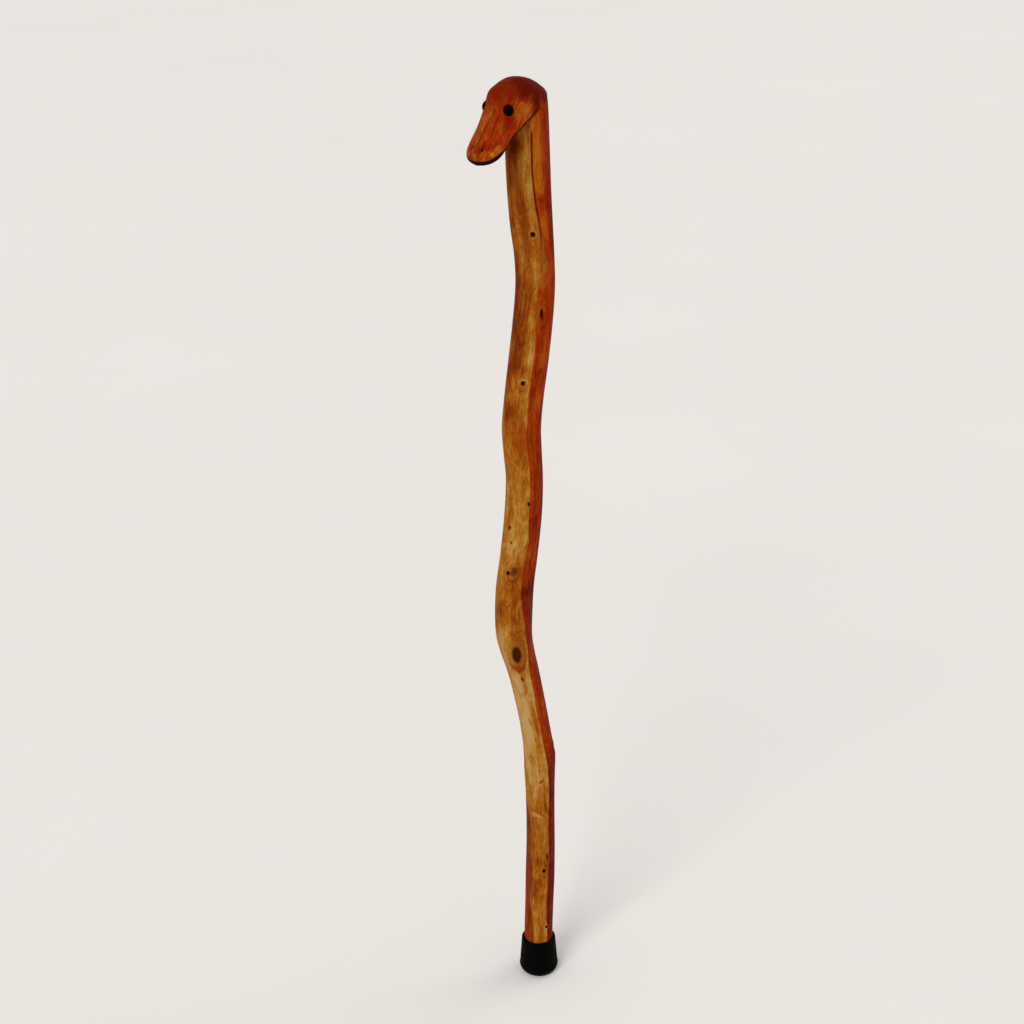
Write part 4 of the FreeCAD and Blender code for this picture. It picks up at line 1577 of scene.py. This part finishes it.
    def tools(self) -> list[Object]:
        """Makes drills for the eyes' sockets, their wires, the nostrils and the dowel.

        Returns:
            The drills.
        """
        made, reach = [], self.tool_reach
        for eye in self.eyes:
            at, look = self.dome_place(eye.place, eye.turn), self.dome_facing(eye.place, eye.turn)
            r, d, s = self.eye_radius, self.eye_depth, self.stem_radius
            made.append(self.drill(f"{eye.name}_socket", at, look, [
                (0, -self.stem_depth), (s, -self.stem_depth), (s, -d), (r, -d), (r, -0.5 * MM),
                (r + 0.35 * MM, -0.1 * MM), (r + 2.2 * MM, 1.4 * MM), (r + 2.2 * MM, reach), (0, reach)]))
        for side, name in ((1, "left"), (-1, "right")):
            turn = self.nostril_turn(side)
            mouth = self.dome_place(self.nostril_place, turn)
            look = self.dome_facing(self.nostril_place, turn)
            n, deep = self.nostril_radius, self.nostril_depth
            made.append(self.drill(f"{name}_nostril", mouth, look, [
                (0, -deep), (0.55 * n, -deep), (0.9 * n, -0.8 * deep), (n, -0.2 * deep),
                (1.6 * n, 0.2 * deep), (1.6 * n, reach), (0, reach)]))
        r, top = self.dowel_radius, self.dowel_height
        up = np.array([-math.sin(self.joint.slope), 0, math.cos(self.joint.slope)])
        made.append(self.drill("dowel_bore", np.zeros(3), up, [(0, -top), (r, -top), (r, top), (0, top)]))
        return made

    def build(self) -> Object:
        """Makes the head's mesh.

        Returns:
            The head.
        """
        form = self.form()
        walk = np.linspace(0, form.at[-1], self.rows)
        sizes = np.stack(self.row_sizes(form(walk)), -1)
        places = np.concatenate([self.section(*row) for row in sizes])
        columns = len(places) // self.rows
        faces = [tuple(reversed(face)) for face in ring_faces(self.rows, columns)]
        faces.append(tuple(range(columns)))
        faces.append(tuple(reversed(range((self.rows - 1) * columns, self.rows * columns))))
        places[:, 2] -= self.knife_marks(places)
        piece = new_piece("carved_head", self.to_stick(places), faces)
        carved(piece, self.tools())
        smooth_shaded(piece, self.crease)
        return piece

    def spots(self, places: Points, rows: Table) -> Points:
        """How strongly some spots colour each place.

        Args:
            places: head places in millimetres.
            rows: the numbers of each spot.

        Returns:
            The strength at each place.
        """
        clear = np.ones(len(places))
        for spot in (Spot(*row) for row in rows):
            for side, share in ((1, 1.0), (-1, spot.both_sides)):
                away = places - np.array([spot.along, side * spot.left, spot.out])
                clear *= 1 - spot.strength * share * bell(np.linalg.norm(away, axis=1), spot.reach)
        return 1 - clear

    def grain_lines(self, places: Points) -> Points:
        """The dark lines of the grain down the bill.

        Args:
            places: head places in millimetres.

        Returns:
            The lines' strength at each place.
        """
        u, w, n = places.T
        lines = np.zeros(len(u))
        for path, strength, thick in GRAIN_LINES:
            along, across = zip(*path)
            line = np.interp(u, along, across) + 0.25 * np.sin(u / 3.1 + across[0])
            span = ease(along[0] - 1, along[0] + 4, u) * (1 - ease(along[-1] - 4, along[-1] + 1, u))
            lines = np.maximum(lines, strength * span * bell(w - line, thick) * ease(2, 4, n))
        return lines

    def dress(self, piece: Object) -> None:
        """Works out where the colours and the grain run, and gives the head its finish.

        Args:
            piece: the head.
        """
        points = place_array(piece)
        places = self.from_stick(points) / MM
        u, w, n = places.T
        wander = grain_noise(points, 6 * MM, 10 * MM, 5.5) * 2.2
        ripple = grain_noise(np.stack([w, n, u], -1) * MM, 6 * MM, 50 * MM, 1.9) * 1.4
        bow = 0.003 * (u - 30) ** 2 * np.sign(w) * ease(0, 14, np.abs(w))
        store(piece, "grain", np.stack([w + bow + ripple * 0.4, n + 0.25 * u, u], -1) * MM)
        moved = places + np.stack([wander, 0.6 * wander, -0.5 * wander], -1)
        nostrils = sum(bell(np.linalg.norm(places - np.array(at), axis=1), self.shadow_reach)
                       for at in self.nostril_shadows)
        nape = 1 - ease(-9, 1, moved[:, 0])
        jaw = ease(1.4, 2.5, n - 1.7 * ease(50, 60, u) + 0.12 * wander)
        masks = {name: self.spots(moved, rows) for name, rows in SPOT_ROWS.items()}
        masks["maroon"] = np.maximum(masks["maroon"], 0.85 * nape)
        masks["dusk"] = np.maximum(masks["dusk"], nape)
        masks["red"] = masks["red"] + 0.22 * ease(-2, 9, w) * ease(28, 36, u)
        # The line mask holds the grain lines and the painted shadows round the nostrils
        masks["line"] = np.maximum(self.grain_lines(places), 0.6 * nostrils)
        # Painted shade: the under mask darkens the bill's flat underside and the lowest millimetre or two of
        # its sides, a little higher towards the tip
        masks["under"] = (0.94 + 0.04 * ease(52, 60, u)) * (1 - jaw) * ease(7, 13, u)
        for name, values in masks.items():
            store(piece, name, np.clip(values, 0, 1.2))
        coat(piece, HeadFinish().material())


@dataclass
class Ferrule:
    """The rubber ferrule on the branch's foot."""

    height: float = 39.4 * MM
    rim: float = 16.95 * MM
    base: float = 19.1 * MM
    lip: float = 19.5 * MM
    lip_height: float = 8.4 * MM
    lip_fall: float = 1.2 * MM
    tread: float = 15.0 * MM
    bore: float = 14.0 * MM
    floor: float = 8.0 * MM
    rim_round: float = 1.2 * MM
    groove_depth: float = 0.9 * MM
    groove_width: float = 1.3 * MM
    groove_places: tuple[float, ...] = (4.5 * MM, 8.0 * MM, 11.5 * MM)
    lip_steps: int = 12
    side_steps: int = 16
    rim_steps: int = 6
    segments: int = 128
    crease: float = 32.0
    dust_fade: tuple[float, float] = (1.0 * MM, 9.0 * MM)
    most_dust: float = 0.55

    def outline(self) -> Outline:
        """Walks round the ferrule's section, from the tread's centre to the floor's.

        Returns:
            The radius and height of each point.
        """
        points = [(0.0, 0.0)]
        for at in self.groove_places:
            half = self.groove_width / 2
            points += [(at - half, 0.0), (at - 0.7 * half, self.groove_depth),
                       (at + 0.7 * half, self.groove_depth), (at + half, 0.0)]
        side = self.lip - self.tread
        radius = (side ** 2 + self.lip_height ** 2) / (2 * side)
        turn = math.asin(self.lip_height / radius)
        for k in range(self.lip_steps + 1):
            angle = turn * (1 - k / self.lip_steps)
            points.append((self.lip - radius * (1 - math.cos(angle)),
                           self.lip_height - radius * math.sin(angle)))
        points.append((self.lip - 0.15 * MM, self.lip_height + 0.5 * self.lip_fall))
        points.append((self.base, self.lip_height + self.lip_fall))
        low, high = self.lip_height + self.lip_fall, self.height - self.rim_round
        for k in range(1, self.side_steps + 1):
            t = k / self.side_steps
            points.append((self.base + (self.rim - self.base) * t, low + (high - low) * t))
        for k in range(1, self.rim_steps + 1):
            angle = math.pi / 2 * k / self.rim_steps
            points.append((self.rim - self.rim_round * (1 - math.cos(angle)),
                           high + self.rim_round * math.sin(angle)))
        points += [(self.bore + 0.3 * MM, self.height), (self.bore, self.height - 0.3 * MM),
                   (self.bore, self.floor), (0.0, self.floor)]
        return points

    def build(self) -> Object:
        """Makes the ferrule's mesh.

        Returns:
            The ferrule.
        """
        piece = turned_piece("rubber_ferrule", self.outline(), self.segments)
        smooth_shaded(piece, self.crease)
        return piece

    def dress(self, piece: Object) -> None:
        """Marks where dust gathers, and gives the ferrule its finish.

        Args:
            piece: the ferrule.
        """
        store(piece, "dust", self.most_dust * (1 - ease(*self.dust_fade, place_array(piece)[:, 2])))
        coat(piece, RUBBER.material())


@dataclass
class HiddenPieces:
    """The pieces that keep their own solids: eyes, wires, dowel and washer."""

    def dress(self) -> None:
        """Gives each solid its finish."""
        wearers = {BLACK_DOME: ("left_eye", "right_eye"), WIRE: ("left_eye_stem", "right_eye_stem"),
                   BARE_WOOD: ("joint_dowel",), ZINC: ("ferrule_washer",)}
        for finish, nodes in wearers.items():
            material = finish.material()
            for node in nodes:
                coat(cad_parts[node], material)
                LOG.info("%s keeps its solid", node)


@dataclass(frozen=True)
class Lamp:
    """A far, soft lamp: the way it hangs from the stick, its spread in degrees and its strength."""

    name: str
    place: tuple[float, float, float]
    spread: float
    strength: float


@dataclass
class Studio:
    """The floor, the lights and the camera."""

    floor_size: float = 44.0
    camera_place: tuple[float, float, float] = (1.0887, -1.0785, 1.1379)
    heading: float = math.radians(46.0)
    pitch: float = math.radians(22.4)
    roll: float = math.radians(1.0)
    focal_px: float = 1800.0
    frame_px: float = 1024.0
    sensor: float = 36.0
    sky: float = 0.60
    lamps: tuple[Lamp, ...] = (
        Lamp("key_lamp", (0.34, -1.05, 0.86), 26.0, 1.50), Lamp("fill_lamp", (0.25, 1.20, 0.70), 40.0, 0.65))

    def build_floor(self) -> None:
        """Makes the pale floor that the stick stands on."""
        corners = np.array([(-1, -1, 0), (1, -1, 0), (1, 1, 0), (-1, 1, 0)]) * self.floor_size / 2
        floor = new_piece("pale_floor", corners, [(0, 1, 2, 3)])
        coat(floor, FloorFinish().material())

    def build_camera(self) -> None:
        """Places the camera at the photograph's viewing angle."""
        lens = bpy.data.cameras.new("camera")
        lens.sensor_width = self.sensor
        lens.lens = self.sensor * self.focal_px / self.frame_px
        camera = bpy.data.objects.new("camera", lens)
        look = Vector((-math.sin(self.heading) * math.cos(self.pitch),
                       math.cos(self.heading) * math.cos(self.pitch), -math.sin(self.pitch)))
        right = Vector((math.cos(self.heading), math.sin(self.heading), 0.0))
        up = right.cross(look)
        x_axis = right * math.cos(self.roll) - up * math.sin(self.roll)
        y_axis = right * math.sin(self.roll) + up * math.cos(self.roll)
        turn = Matrix((x_axis, y_axis, -look)).transposed().to_4x4()
        camera.matrix_world = Matrix.Translation(self.camera_place) @ turn
        bpy.context.scene.collection.objects.link(camera)
        bpy.context.scene.camera = camera

    def build_lights(self) -> None:
        """Hangs two soft, far lamps and sets the even light all round."""
        for lamp in self.lamps:
            light = bpy.data.lights.new(lamp.name, "SUN")
            light.angle = math.radians(lamp.spread)
            light.energy = lamp.strength
            stand = bpy.data.objects.new(lamp.name, light)
            turn = (-Vector(lamp.place)).to_track_quat("-Z", "Y").to_matrix().to_4x4()
            stand.matrix_world = Matrix.Translation(lamp.place) @ turn
            bpy.context.scene.collection.objects.link(stand)
        world = bpy.data.worlds.new("soft_sky")
        s = NodeSheet(world)
        sky, white = (s.node("Background", {"Color": (1.0, 1.0, 1.0), "Strength": strength})
                      for strength in (self.sky, 1.0))
        s.end(s.node("MixShader", {0: s.node("LightPath", {}, "Is Camera Ray"), 1: sky, 2: white}))
        bpy.context.scene.world = world
        bpy.context.scene.view_settings.view_transform = "Standard"


def main() -> None:
    """Builds and dresses every piece, then the studio."""
    logging.basicConfig(level=logging.INFO, format="%(message)s")
    studio = Studio()
    studio.build_camera()

    joint = JointPlane()
    branch = Branch(joint)
    parts = ((branch, Body.STICK, "shaft", "branch_wood"),
             (BirdHead(joint, branch.neck_centre()), Body.STICK, "head", "head_wood"),
             (Ferrule(), Body.TIP, "ferrule", "ferrule_rubber"))
    for maker, body, node, slot in parts:
        piece = maker.build()
        maker.dress(piece)
        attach(piece, body.value)
        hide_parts(node)
        LOG.info("%s stands for %s, with %d points", piece.name, node, len(piece.data.vertices))

    HiddenPieces().dress()
    studio.build_floor()
    studio.build_lights()


if __name__ == "__main__":
    main()
